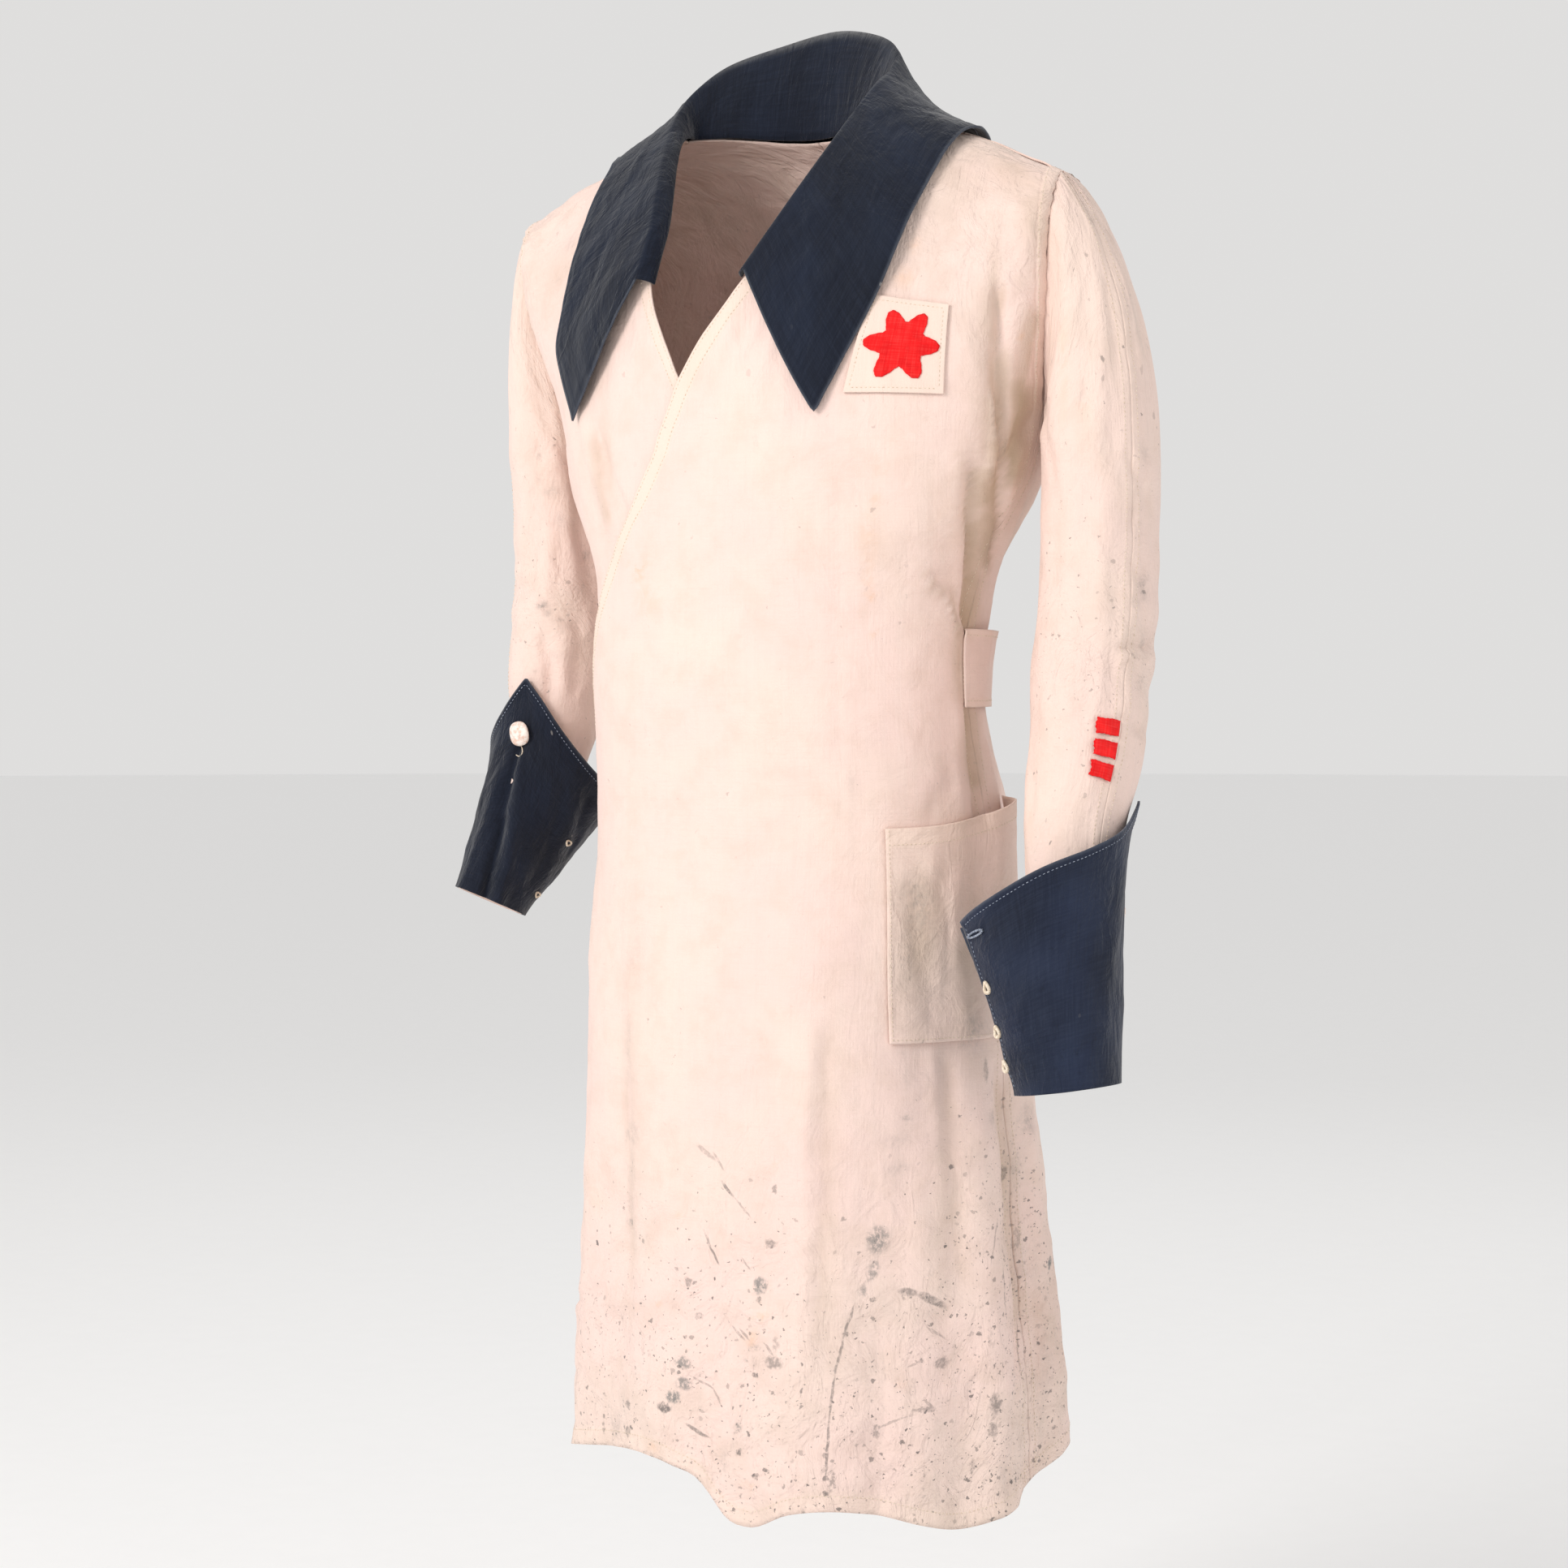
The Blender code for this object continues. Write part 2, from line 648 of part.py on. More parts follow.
def build_pocket(cloth, collection):
    angles = np.linspace(POCKET_START, POCKET_END, 13)
    shares = np.linspace(0.0, 1.0, 7)
    rows = []
    for share in shares:
        across = (angles - POCKET_START) / (POCKET_END - POCKET_START)
        top = POCKET_TOP_Z + POCKET_TOP_RISE * across ** 2
        level = POCKET_BOTTOM_Z + (top - POCKET_BOTTOM_Z) * share
        gape = POCKET_GAPE * share ** 2 * ramp(angles, 76.0, 96.0) * (1.0 - ramp(angles, 98.0, 104.0))
        out = lap_out(angles, level) + CLOTH + SEWN_CLEAR + gape
        rows.append(body_point(angles, level, out))
    sheet("pocket", np.array(rows), cloth, collection, CLOTH, 1)


def build_breast_patch(cloth, collection):
    shares = np.linspace(0.0, 1.0, 6)
    rows = []
    for up in shares:
        level = PATCH_BOTTOM_Z + (PATCH_TOP_Z - PATCH_BOTTOM_Z) * up
        first = PATCH_BOTTOM_ANGLES[0] + (PATCH_TOP_ANGLES[0] - PATCH_BOTTOM_ANGLES[0]) * up
        final = PATCH_BOTTOM_ANGLES[1] + (PATCH_TOP_ANGLES[1] - PATCH_BOTTOM_ANGLES[1]) * up
        angles = first + (final - first) * shares
        level = np.full(angles.shape, level)
        rows.append(body_point(angles, level, lap_out(angles, level) + PATCH_CLEAR))
    sheet("breast_patch", np.array(rows), cloth, collection, 0.0012, 1)


def build_bars(red, collection):
    for number, (first, final) in enumerate(BAR_STATIONS, start=1):
        angles = np.linspace(BAR_START, BAR_END, 3)
        grid = np.array([
            sleeve_point(LEFT_ARM, 1.0, share, angles, BAR_CLEAR)
            for share in np.linspace(first, final, 3)
        ])
        sheet("service_bar_" + str(number), grid, red, collection, 0.0011, -1)


def build_button(side_name, rows, table, apex, off, bone, collection):
    # A domed button with a shank, screwed round from its half profile
    level = BUTTON_PLACE
    base = cuff_point(rows, table, apex, level, off)
    near = cuff_point(rows, table, apex, level, off + 8.0) - cuff_point(rows, table, apex, level, off - 8.0)
    rise = cuff_point(rows, table, apex, level + 0.05, off) - cuff_point(rows, table, apex, level - 0.05, off)
    normal = np.cross(near, rise)
    normal = normal / np.linalg.norm(normal)
    centre = arm_section(rows, 0.74)[0]
    if normal.dot(base - centre) < 0.0:
        normal = -normal
    profile = (
        (0.0, 0.0006),
        (BUTTON_SHANK_RADIUS, 0.0006),
        (BUTTON_SHANK_RADIUS, 0.0025),
        (BUTTON_RADIUS * 0.90, 0.0027),
        (BUTTON_RADIUS, 0.0040),
        (BUTTON_RADIUS * 0.84, 0.0060),
        (BUTTON_RADIUS * 0.45, 0.0074),
        (0.0, 0.0078),
    )
    mesh = bpy.data.meshes.new("cuff_button_" + side_name)
    points = [(radius, 0.0, height) for radius, height in profile]
    edges = [(index, index + 1) for index in range(len(points) - 1)]
    mesh.from_pydata(points, edges, [])
    item = bpy.data.objects.new("cuff_button_" + side_name, mesh)
    collection.objects.link(item)
    mesh.materials.append(bone)
    turn = item.modifiers.new("turn", "SCREW")
    turn.steps = 14
    turn.render_steps = 14
    turn.use_merge_vertices = True
    turn.merge_threshold = 0.0001
    turn.use_normal_calculate = True
    up = np.array([0.0, 0.0, 1.0])
    first = np.cross(up, normal)
    first = first / np.linalg.norm(first)
    second = np.cross(normal, first)
    turned = Matrix([first, second, normal]).transposed().to_4x4()
    item.matrix_world = Matrix.Translation(base) @ turned


def build_dress():
    clear_scene()
    collection = new_collection("uniform_dress")
    cloth = new_material("white_cotton", (0.86, 0.80, 0.74), 0.85)
    navy = new_material("navy_cotton", (0.025, 0.035, 0.075), 0.8)
    red = new_material("red_cotton", (0.75, 0.02, 0.02), 0.8)
    bone = new_material("covered_button", (0.90, 0.82, 0.76), 0.6)
    build_fronts(cloth, collection)
    build_back(cloth, collection)
    build_sleeve("left", LEFT_ARM, 1.0, cloth, collection)
    build_sleeve("right", RIGHT_ARM, -1.0, cloth, collection)
    build_cuff("left", LEFT_ARM, LEFT_CUFF_ROWS, LEFT_CUFF_APEX, navy, collection)
    build_cuff("right", RIGHT_ARM, RIGHT_CUFF_ROWS, RIGHT_CUFF_APEX, navy, collection)
    build_collar(navy, collection)
    build_belt(cloth, collection)
    build_pocket(cloth, collection)
    build_breast_patch(cloth, collection)
    build_bars(red, collection)
    build_button("left", LEFT_ARM, LEFT_CUFF_ROWS, LEFT_CUFF_APEX, LEFT_BUTTON_OFF, bone, collection)
    build_button("right", RIGHT_ARM, RIGHT_CUFF_ROWS, RIGHT_CUFF_APEX, RIGHT_BUTTON_OFF, bone, collection)


build_dress()
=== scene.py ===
# The wrap-front uniform dress as cloth: fine shells on the solids' forms, creases, stitching, stains and
# painted fold shade.
# Metres, +Z up, the front faces -Y, the wearer's left is +X, as in the solids.
import bpy
import math
import numpy as np
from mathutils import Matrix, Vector


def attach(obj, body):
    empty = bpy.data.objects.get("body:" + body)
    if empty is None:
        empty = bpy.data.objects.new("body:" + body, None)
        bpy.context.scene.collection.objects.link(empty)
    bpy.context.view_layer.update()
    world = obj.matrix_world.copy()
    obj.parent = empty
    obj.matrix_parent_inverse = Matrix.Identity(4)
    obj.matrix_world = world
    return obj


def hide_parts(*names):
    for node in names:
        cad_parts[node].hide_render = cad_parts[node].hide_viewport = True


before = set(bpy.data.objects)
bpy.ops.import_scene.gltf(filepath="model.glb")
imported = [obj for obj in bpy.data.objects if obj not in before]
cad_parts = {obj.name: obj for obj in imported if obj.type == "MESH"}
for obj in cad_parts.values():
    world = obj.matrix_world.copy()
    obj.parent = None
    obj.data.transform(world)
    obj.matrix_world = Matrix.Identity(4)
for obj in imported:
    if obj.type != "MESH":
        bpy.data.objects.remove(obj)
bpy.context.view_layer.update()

# Sizes shared with the solids
CLOTH = 0.0016
SEWN_CLEAR = 0.0010
BODY_WALL = 0.0013
NAVY_WALL = 0.0016
PATCH_WALL = 0.0012
BAR_WALL = 0.0009
STITCH_START = 14
NAVY_CLOTH = 0.0018
SEAM_GAP = 0.0001
SEAM_CLEAR = 0.00008
LAP_STEP = 0.0040
ARMPIT_Z = -0.210
SHOULDER_SPAN = 0.200
SHOULDER_TIP_X = 0.225
SHOULDER_TIP_Z = -0.046
SHOULDER_RISE = 0.060
SHOULDER_SHIFT = -0.007
SHOULDER_SEAM_Y = 0.014
NECK_SHARE = 0.378
NAPE_SHARE = 0.80
ARMHOLE_FRONT_BOW = 0.032
ARMHOLE_BACK_BOW = 0.040
ARMHOLE_SPREAD = 0.014
ARMHOLE_GAP = 0.0004
SIDE_SEAM = 88.0
HEM_Z = -0.975
PUCKER = 0.00025
CREASE_GAIN = 1.5
FOLD_SHARP = 0.0026
SLEEVE_CREASE_GAIN = 1.5
HARD_MARK_LEAST = 0.60
EDGE_SOFT = 0.0012

# Body rings from the hem up to the armpit
# height, half width, front depth, back depth, centre towards the back
BODY_ROWS = (
    (-1.000, 0.184, 0.172, 0.175, 0.052),
    (-0.900, 0.181, 0.165, 0.168, 0.050),
    (-0.750, 0.171, 0.152, 0.156, 0.040),
    (-0.610, 0.163, 0.138, 0.142, 0.030),
    (-0.490, 0.155, 0.120, 0.127, 0.024),
    (-0.400, 0.150, 0.108, 0.106, 0.006),
    (-0.345, 0.152, 0.111, 0.112, 0.010),
    (-0.310, 0.159, 0.116, 0.119, 0.015),
    (-0.284, 0.171, 0.120, 0.125, 0.019),
    (-0.258, 0.184, 0.122, 0.129, 0.022),
    (-0.234, 0.192, 0.122, 0.131, 0.024),
    (-0.210, 0.197, 0.121, 0.132, 0.025),
)

# Soft folds of the skirt and body: angle, width in degrees, height of the fold outwards, top, bottom
FOLDS = (
    (-72.0, 20.0, -0.009, -0.55, -0.99),
    (-48.0, 9.0, 0.005, -0.66, -0.99),
    (-27.0, 10.0, -0.006, -0.50, -0.90),
    (-8.0, 10.0, 0.004, -0.70, -0.99),
    (8.0, 9.0, -0.004, -0.74, -0.99),
    (27.0, 11.0, 0.005, -0.44, -0.99),
    (44.0, 9.0, -0.004, -0.66, -0.99),
    (62.0, 8.0, -0.007, -0.50, -0.99),
    (74.0, 7.0, 0.006, -0.52, -0.99),
    (87.0, 7.0, -0.008, -0.52, -0.99),
    (101.0, 8.0, 0.008, -0.50, -0.99),
    (118.0, 9.0, -0.006, -0.56, -0.99),
    (136.0, 10.0, 0.007, -0.52, -0.99),
    (156.0, 10.0, -0.006, -0.54, -0.99),
    (176.0, 11.0, 0.007, -0.50, -0.99),
    (197.0, 10.0, -0.006, -0.56, -0.99),
    (217.0, 10.0, 0.007, -0.52, -0.99),
    (238.0, 9.0, -0.006, -0.56, -0.99),
    (257.0, 9.0, 0.006, -0.54, -0.99),
)

# How far the hem hangs below or above its mean height: angle, drop
HEM_ROWS = (
    (-100.0, 0.012),
    (-67.0, 0.008),
    (-48.0, 0.022),
    (-26.5, 0.035),
    (-14.0, 0.039),
    (-4.0, 0.035),
    (2.5, 0.026),
    (7.0, 0.008),
    (14.0, 0.000),
    (22.5, 0.011),
    (41.5, 0.010),
    (52.0, 0.001),
    (61.0, -0.005),
    (71.0, -0.001),
    (85.0, 0.011),
    (95.0, 0.025),
    (108.0, 0.036),
    (135.0, 0.022),
    (180.0, 0.010),
    (215.0, 0.018),
    (245.0, 0.010),
    (260.0, 0.012),
)

# Free edge of the left front from the hem up to the neck: height, angle
LEFT_EDGE = (
    (-1.000, -74.0),
    (-0.800, -75.0),
    (-0.600, -76.0),
    (-0.450, -76.0),
    (-0.405, -71.0),
    (-0.370, -60.0),
    (-0.345, -49.0),
    (-0.315, -38.0),
    (-0.292, -29.0),
    (-0.273, -22.0),
    (-0.243, -15.5),
    (-0.209, -10.5),
    (-0.175, -0.5),
    (-0.154, 6.5),
    (-0.134, 12.0),
    (-0.110, 16.5),
    (-0.080, 19.8),
    (-0.045, 21.5),
    (-0.010, 22.2),
)

# Free edge of the right front, under the left one: height, angle
RIGHT_EDGE = (
    (-1.000, 50.0),
    (-0.450, 50.0),
    (-0.400, 46.0),
    (-0.350, 36.0),
    (-0.300, 22.0),
    (-0.250, 8.0),
    (-0.210, -3.5),
    (-0.176, -13.0),
    (-0.152, -17.5),
    (-0.138, -16.8),
    (-0.118, -15.8),
    (-0.098, -16.6),
    (-0.074, -18.4),
    (-0.045, -20.6),
    (-0.010, -22.2),
)

# Arm lines: centre x, y, z, radius across, radius front to back
LEFT_ARM = (
    (0.228, 0.030, -0.125, 0.045, 0.058),
    (0.236, 0.034, -0.175, 0.041, 0.055),
    (0.238, 0.033, -0.240, 0.039, 0.050),
    (0.239, 0.029, -0.320, 0.039, 0.047),
    (0.238, 0.020, -0.385, 0.040, 0.046),
    (0.240, 0.003, -0.450, 0.038, 0.041),
    (0.240, -0.014, -0.500, 0.033, 0.036),
    (0.245, -0.027, -0.545, 0.030, 0.034),
    (0.253, -0.044, -0.603, 0.0295, 0.033),
    (0.263, -0.062, -0.666, 0.0295, 0.0315),
)
RIGHT_ARM = (
    (-0.220, 0.030, -0.125, 0.043, 0.056),
    (-0.231, 0.044, -0.175, 0.037, 0.050),
    (-0.236, 0.053, -0.240, 0.036, 0.047),
    (-0.236, 0.058, -0.300, 0.036, 0.046),
    (-0.240, 0.060, -0.355, 0.039, 0.045),
    (-0.242, 0.054, -0.400, 0.036, 0.041),
    (-0.243, 0.044, -0.445, 0.030, 0.036),
    (-0.256, 0.028, -0.505, 0.026, 0.032),
    (-0.273, 0.008, -0.566, 0.024, 0.030),
)
SLEEVE_SEAM = 62.0
CAP_SHARE = 0.20
LEFT_WRIST_CUT = 0.27
LEFT_CAP_SWELL = 0.32
RIGHT_CAP_SWELL = -0.04

# Cuffs by angle away from the apex: angle, length of the cuff there,
# stand-off at the top edge, stand-off at the wrist
LEFT_CUFF_ROWS = (
    (0.0, 0.206, 0.001, 0.000),
    (15.0, 0.193, 0.002, 0.000),
    (40.0, 0.173, 0.006, 0.000),
    (75.0, 0.153, 0.012, 0.000),
    (110.0, 0.137, 0.020, 0.001),
    (145.0, 0.119, 0.030, 0.004),
    (174.0, 0.108, 0.040, 0.006),
)
RIGHT_CUFF_ROWS = (
    (0.0, 0.175, 0.001, 0.000),
    (15.0, 0.162, 0.002, 0.000),
    (40.0, 0.141, 0.006, 0.000),
    (75.0, 0.122, 0.012, 0.000),
    (110.0, 0.111, 0.021, 0.000),
    (145.0, 0.105, 0.033, 0.000),
    (174.0, 0.102, 0.046, 0.000),
)
LEFT_CUFF_APEX = 118.0
RIGHT_CUFF_APEX = 4.0
CUFF_CLEAR = 0.0018

# Collar stations from the left corner round the neck to the right corner
# neck share, neck height, outer share, outer height, fold x, fold y, fold z
COLLAR_ROWS = (
    (0.111, 0.278, 0.407, -0.015, 0.026, -0.095, -0.112),
    (0.215, 0.385, 0.500, 0.100, 0.046, -0.085, -0.080),
    (0.296, 0.510, 0.590, 0.240, 0.061, -0.070, -0.050),
    (0.340, 0.650, 0.650, 0.420, 0.0725, -0.047, -0.018),
    (0.366, 0.820, 0.690, 0.620, 0.077, -0.020, 0.010),
    (0.375, 0.980, 0.705, 0.840, 0.079, 0.000, 0.028),
    (0.368, 1.016, 0.700, 1.030, 0.078, 0.020, 0.040),
    (0.290, 1.084, 0.620, 1.300, 0.068, 0.046, 0.060),
    (0.160, 1.165, 0.360, 1.480, 0.040, 0.066, 0.077),
    (0.000, 1.200, 0.000, 1.540, 0.000, 0.074, 0.086),
    (-0.160, 1.165, -0.360, 1.480, -0.043, 0.066, 0.078),
    (-0.290, 1.084, -0.600, 1.300, -0.076, 0.046, 0.064),
    (-0.366, 1.016, -0.640, 1.060, -0.090, 0.020, 0.042),
    (-0.372, 0.970, -0.610, 0.870, -0.090, 0.000, 0.024),
    (-0.352, 0.820, -0.610, 0.720, -0.084, -0.022, 0.004),
    (-0.314, 0.660, -0.650, 0.580, -0.074, -0.045, -0.018),
    (-0.283, 0.530, -0.700, 0.430, -0.065, -0.066, -0.044),
    (-0.270, 0.430, -0.745, 0.310, -0.060, -0.080, -0.070),
    (-0.286, 0.350, -0.790, 0.180, -0.062, -0.088, -0.094),
    (-0.302, 0.288, -0.682, 0.010, -0.067, -0.090, -0.111),
)
COLLAR_CLEAR = 0.0068
STAND_SEAT = 0.0007
STAND_LEAN = 0.003

# Belt round the back, from the left side seam to the right one
BELT_TOP_Z = -0.360
BELT_BOTTOM_Z = -0.415
BELT_START = 84.0
BELT_END = 276.0
BELT_CLEAR = 0.0016
BELT_STAND_OFF = 0.004

# Patch pocket on the left hip: angles and heights of its sides
POCKET_START = 48.0
POCKET_END = 104.0
POCKET_TOP_Z = -0.498
POCKET_BOTTOM_Z = -0.645
POCKET_TOP_RISE = 0.020
POCKET_GAPE = 0.012

# Breast patch on the left front: angles and heights of its corners
PATCH_BOTTOM_Z = -0.204
PATCH_TOP_Z = -0.161
PATCH_BOTTOM_ANGLES = (30.0, 53.0)
PATCH_TOP_ANGLES = (35.0, 53.5)
PATCH_CLEAR = 0.0022

# Service bars on the left sleeve: position along the sleeve rows
BAR_STATIONS = ((0.556, 0.576), (0.583, 0.603), (0.610, 0.630))
BAR_START = 36.0
BAR_END = 59.5
BAR_CLEAR = 0.0019

# Cuff buttons
BUTTON_RADIUS = 0.0095
BUTTON_PLACE = 0.750
LEFT_BUTTON_OFF = 48.0
RIGHT_BUTTON_OFF = 0.0


def smooth_value(position, rows, column):
    # Cubic through the rows of a table, with the slopes of its neighbours
    known = np.array([row[0] for row in rows], dtype=float)
    values = np.array([row[column] for row in rows], dtype=float)
    slopes = np.gradient(values, known)
    position = np.clip(np.asarray(position, dtype=float), known[0], known[-1])
    index = np.clip(np.searchsorted(known, position) - 1, 0, len(known) - 2)
    width = known[index + 1] - known[index]
    share = (position - known[index]) / width
    square = share * share
    cube = square * share
    return (
        values[index] * (2.0 * cube - 3.0 * square + 1.0)
        + values[index + 1] * (3.0 * square - 2.0 * cube)
        + slopes[index] * width * (cube - 2.0 * square + share)
        + slopes[index + 1] * width * (cube - square)
    )


def ramp(value, start, end):
    # Smooth step from 0 at start to 1 at end
    share = np.clip((value - start) / (end - start), 0.0, 1.0)
    return share * share * (3.0 - 2.0 * share)


def wrap_angle(angle):
    return (angle + 100.0) % 360.0 - 100.0


def hem_height(angle):
    return HEM_Z + smooth_value(wrap_angle(angle), HEM_ROWS, 1)


def ring_point(angle, height):
    turn = np.radians(angle)
    half_width = smooth_value(height, BODY_ROWS, 1)
    front = smooth_value(height, BODY_ROWS, 2)
    back = smooth_value(height, BODY_ROWS, 3)
    centre = smooth_value(height, BODY_ROWS, 4)
    depth = np.where(np.cos(turn) > 0.0, front, back)
    return half_width * np.sin(turn), centre - depth * np.cos(turn)


def body_base(angle, height):
    # Below the armpit a ring; above it a quarter arc over to the shoulder line
    angle = np.asarray(angle, dtype=float)
    height = np.asarray(height, dtype=float)
    angle, height = np.broadcast_arrays(angle, height)
    ring_height = np.minimum(height, ARMPIT_Z)
    x, y = ring_point(angle, ring_height)
    share = np.clip((height - ARMPIT_Z) / SHOULDER_SPAN, 0.0, 1.05)
    across = np.sin(np.radians(angle))
    facing = np.cos(np.radians(angle))
    arc = np.minimum(share, 1.0) * math.pi / 2.0
    top_x = SHOULDER_TIP_X * across + SHOULDER_SHIFT
    top_y = SHOULDER_SEAM_Y - SEAM_GAP * np.sign(facing)
    top_z = SHOULDER_TIP_Z + SHOULDER_RISE * (1.0 - across ** 2)
    rim = np.abs(across) ** 8 * np.sin(math.pi * np.minimum(share, 1.0))
    bow = np.where(facing > 0.0, -ARMHOLE_FRONT_BOW, ARMHOLE_BACK_BOW)
    x = x + (top_x - x) * share ** 1.5 + ARMHOLE_SPREAD * rim * np.sign(across)
    y = y + (top_y - y) * (1.0 - np.cos(arc)) + bow * rim
    z = ring_height + (top_z - ARMPIT_Z) * np.sin(arc)
    return np.stack([x, y, z], axis=-1)


def fold_height(angle, height):
    total = np.zeros(np.broadcast(angle, height).shape)
    for middle, width, rise, top, bottom in FOLDS:
        off = wrap_angle(np.asarray(angle) - middle + 80.0) - 80.0
        grow = ramp(-np.asarray(height), -top, -bottom) ** 0.7
        total = total + rise * np.exp(-(off / width) ** 2) * grow
    return total


def body_point(angle, height, out=0.0):
    step = 0.4
    rise = 0.002
    base = body_base(angle, height)
    along = body_base(angle + step, height) - body_base(angle - step, height)
    up = body_base(angle, height + rise) - body_base(angle, height - rise)
    normal = np.cross(along, up)
    length = np.linalg.norm(normal, axis=-1, keepdims=True)
    normal = normal / np.maximum(length, 1e-12)
    lift = fold_height(angle, height) + out
    return base + normal * lift[..., None]


def lap_out(angle, height):
    side = 1.0 - ramp(angle, 56.0, 82.0)
    chest = 1.0 - ramp(height, -0.185, -0.130)
    return LAP_STEP * side * chest


def left_edge(height):
    return smooth_value(height, LEFT_EDGE, 1)


def right_edge(height):
    return smooth_value(height, RIGHT_EDGE, 1)


def seam_angle(height):
    return np.full(np.shape(height), SIDE_SEAM + 2.0 * ramp(height, -0.30, ARMPIT_Z))


# Where a mark or a crease lies on the body: angle round it and height up it
PLACE_ANGLES = np.linspace(-110.0, 290.0, 401)
PLACE_HEIGHTS = np.linspace(-1.02, -0.01, 80)


def run_of_cloth():
    # Length of cloth round the body from the middle of the front, for every height
    spots = body_base(PLACE_ANGLES[None, :], PLACE_HEIGHTS[:, None])
    steps = np.linalg.norm(np.diff(spots, axis=1), axis=2)
    run = np.concatenate([np.zeros((len(PLACE_HEIGHTS), 1)), np.cumsum(steps, axis=1)], axis=1)
    middle = int(np.argmin(np.abs(PLACE_ANGLES)))
    return run - run[:, middle:middle + 1]


CLOTH_RUN = run_of_cloth()


def cloth_place(angle, height):
    # Angle and height turned into metres of cloth across and up
    angle, height = np.broadcast_arrays(np.asarray(angle, float), np.asarray(height, float))
    column = (angle - PLACE_ANGLES[0]) / (PLACE_ANGLES[1] - PLACE_ANGLES[0])
    row = (height - PLACE_HEIGHTS[0]) / (PLACE_HEIGHTS[1] - PLACE_HEIGHTS[0])
    column = np.clip(column, 0.0, len(PLACE_ANGLES) - 1.001)
    row = np.clip(row, 0.0, len(PLACE_HEIGHTS) - 1.001)
    left = column.astype(int)
    low = row.astype(int)
    across = column - left
    up = row - low
    below = CLOTH_RUN[low, left] * (1.0 - across) + CLOTH_RUN[low, left + 1] * across
    above = CLOTH_RUN[low + 1, left] * (1.0 - across) + CLOTH_RUN[low + 1, left + 1] * across
    return np.stack([below * (1.0 - up) + above * up, height], axis=-1)


def ripple(place, size, seed):
    # Smooth uneven waves from crossing sines of odd lengths
    source = np.random.default_rng(seed)
    total = np.zeros(place.shape[:-1])
    for _ in range(7):
        turn = source.uniform(0.0, math.tau)
        length = size * source.uniform(0.6, 1.7)
        start = source.uniform(0.0, math.tau)
        along = place[..., 0] * math.cos(turn) + place[..., 1] * math.sin(turn)
        total = total + np.sin(along / length * math.tau + start)
    return total / 4.0


def beside_line(place, start, end, least, sway):
    # Distance beside a line on the cloth, and how far inside its ends, which fade out past them
    line = end - start
    length = float(np.linalg.norm(line))
    way = line / length
    off = place - start
    along = off @ way
    across = way[0] * off[..., 1] - way[1] * off[..., 0] + sway
    reach = max(length * 0.22, least)
    return across, ramp(along, -reach, 0.3 * reach) * ramp(length - along, -reach, 0.3 * reach)


def crease_lift(place, creases, to_place):
    # Each crease is a soft trough or ridge between two places; where two meet, the stronger counts
    ridge = np.zeros(place.shape[:-1])
    trough = np.zeros(place.shape[:-1])
    sway = 0.0022 * ripple(place, 0.035, 3)
    for first_a, first_b, last_a, last_b, width, rise in creases:
        ends_at = to_place(first_a, first_b), to_place(last_a, last_b)
        across, ends = beside_line(place, *ends_at, 0.012, sway * min(1.0, width / 4.0))
        shape = 0.001 * rise * np.exp(-(across / (0.001 * width)) ** 2) * ends
        ridge = np.maximum(ridge, shape)
        trough = np.minimum(trough, shape)
    return ridge + trough


def fold_shade(place, folds, to_place):
    # Painted brown shade beside a fold: full at its line, soft on one side and sharp on the other
    cover = np.zeros(place.shape[:-1])
    sway = 0.0022 * ripple(place, 0.035, 3)
    for first_a, first_b, last_a, last_b, width, strength in folds:
        across, ends = beside_line(place, to_place(first_a, first_b), to_place(last_a, last_b), 0.010, sway)
        soft = np.where(across > 0.0, across / (0.001 * width), across / FOLD_SHARP)
        cover = np.maximum(cover, strength * np.exp(-soft ** 2) * ends)
    return cover


def blot_cover(place, blots, to_place, sharp=1.6):
    # Soft oval marks: place, half sizes in millimetres, strength
    cover = np.zeros(place.shape[:-1])
    for mark_a, mark_b, wide, tall, strength in blots:
        centre = to_place(mark_a, mark_b)
        off = (place - centre) / np.array([0.001 * wide, 0.001 * tall])
        near = np.exp(-np.sum(off ** 2, axis=-1) * 0.8 * sharp)
        cover = np.maximum(cover, strength * near)
    return cover


def dense_edges(count, hold=0.55):
    # Shares from 0 to 1 that lie closer together at both ends
    share = np.linspace(0.0, 1.0, count)
    return share - hold * np.sin(math.tau * share) / math.tau


def body_rows(count_below, count_above):
    below = np.linspace(0.0, 1.0, count_below, endpoint=False)
    below = below - 0.45 * np.sin(math.tau * 0.5 * below) / math.tau
    below = below - below[0]
    above = np.linspace(0.0, 1.0, count_above)
    return np.concatenate([below, 1.0 + above])


def row_height(angle, share):
    hem = hem_height(angle)
    below = hem + (ARMPIT_Z - hem) * share
    return np.where(share < 1.0, below, ARMPIT_Z + SHOULDER_SPAN * (share - 1.0))


def panel_places(start, end, columns, rows):
    # Angles and heights of a panel's points, rows by columns
    share = columns[None, :]
    level = rows[:, None]
    angle = np.full((len(rows), len(columns)), 0.5 * float(start(-0.6) + end(-0.6)))
    for _ in range(5):
        height = row_height(angle, level)
        first = start(height)
        angle = first + (end(height) - first) * share
    return angle, row_height(angle, level)


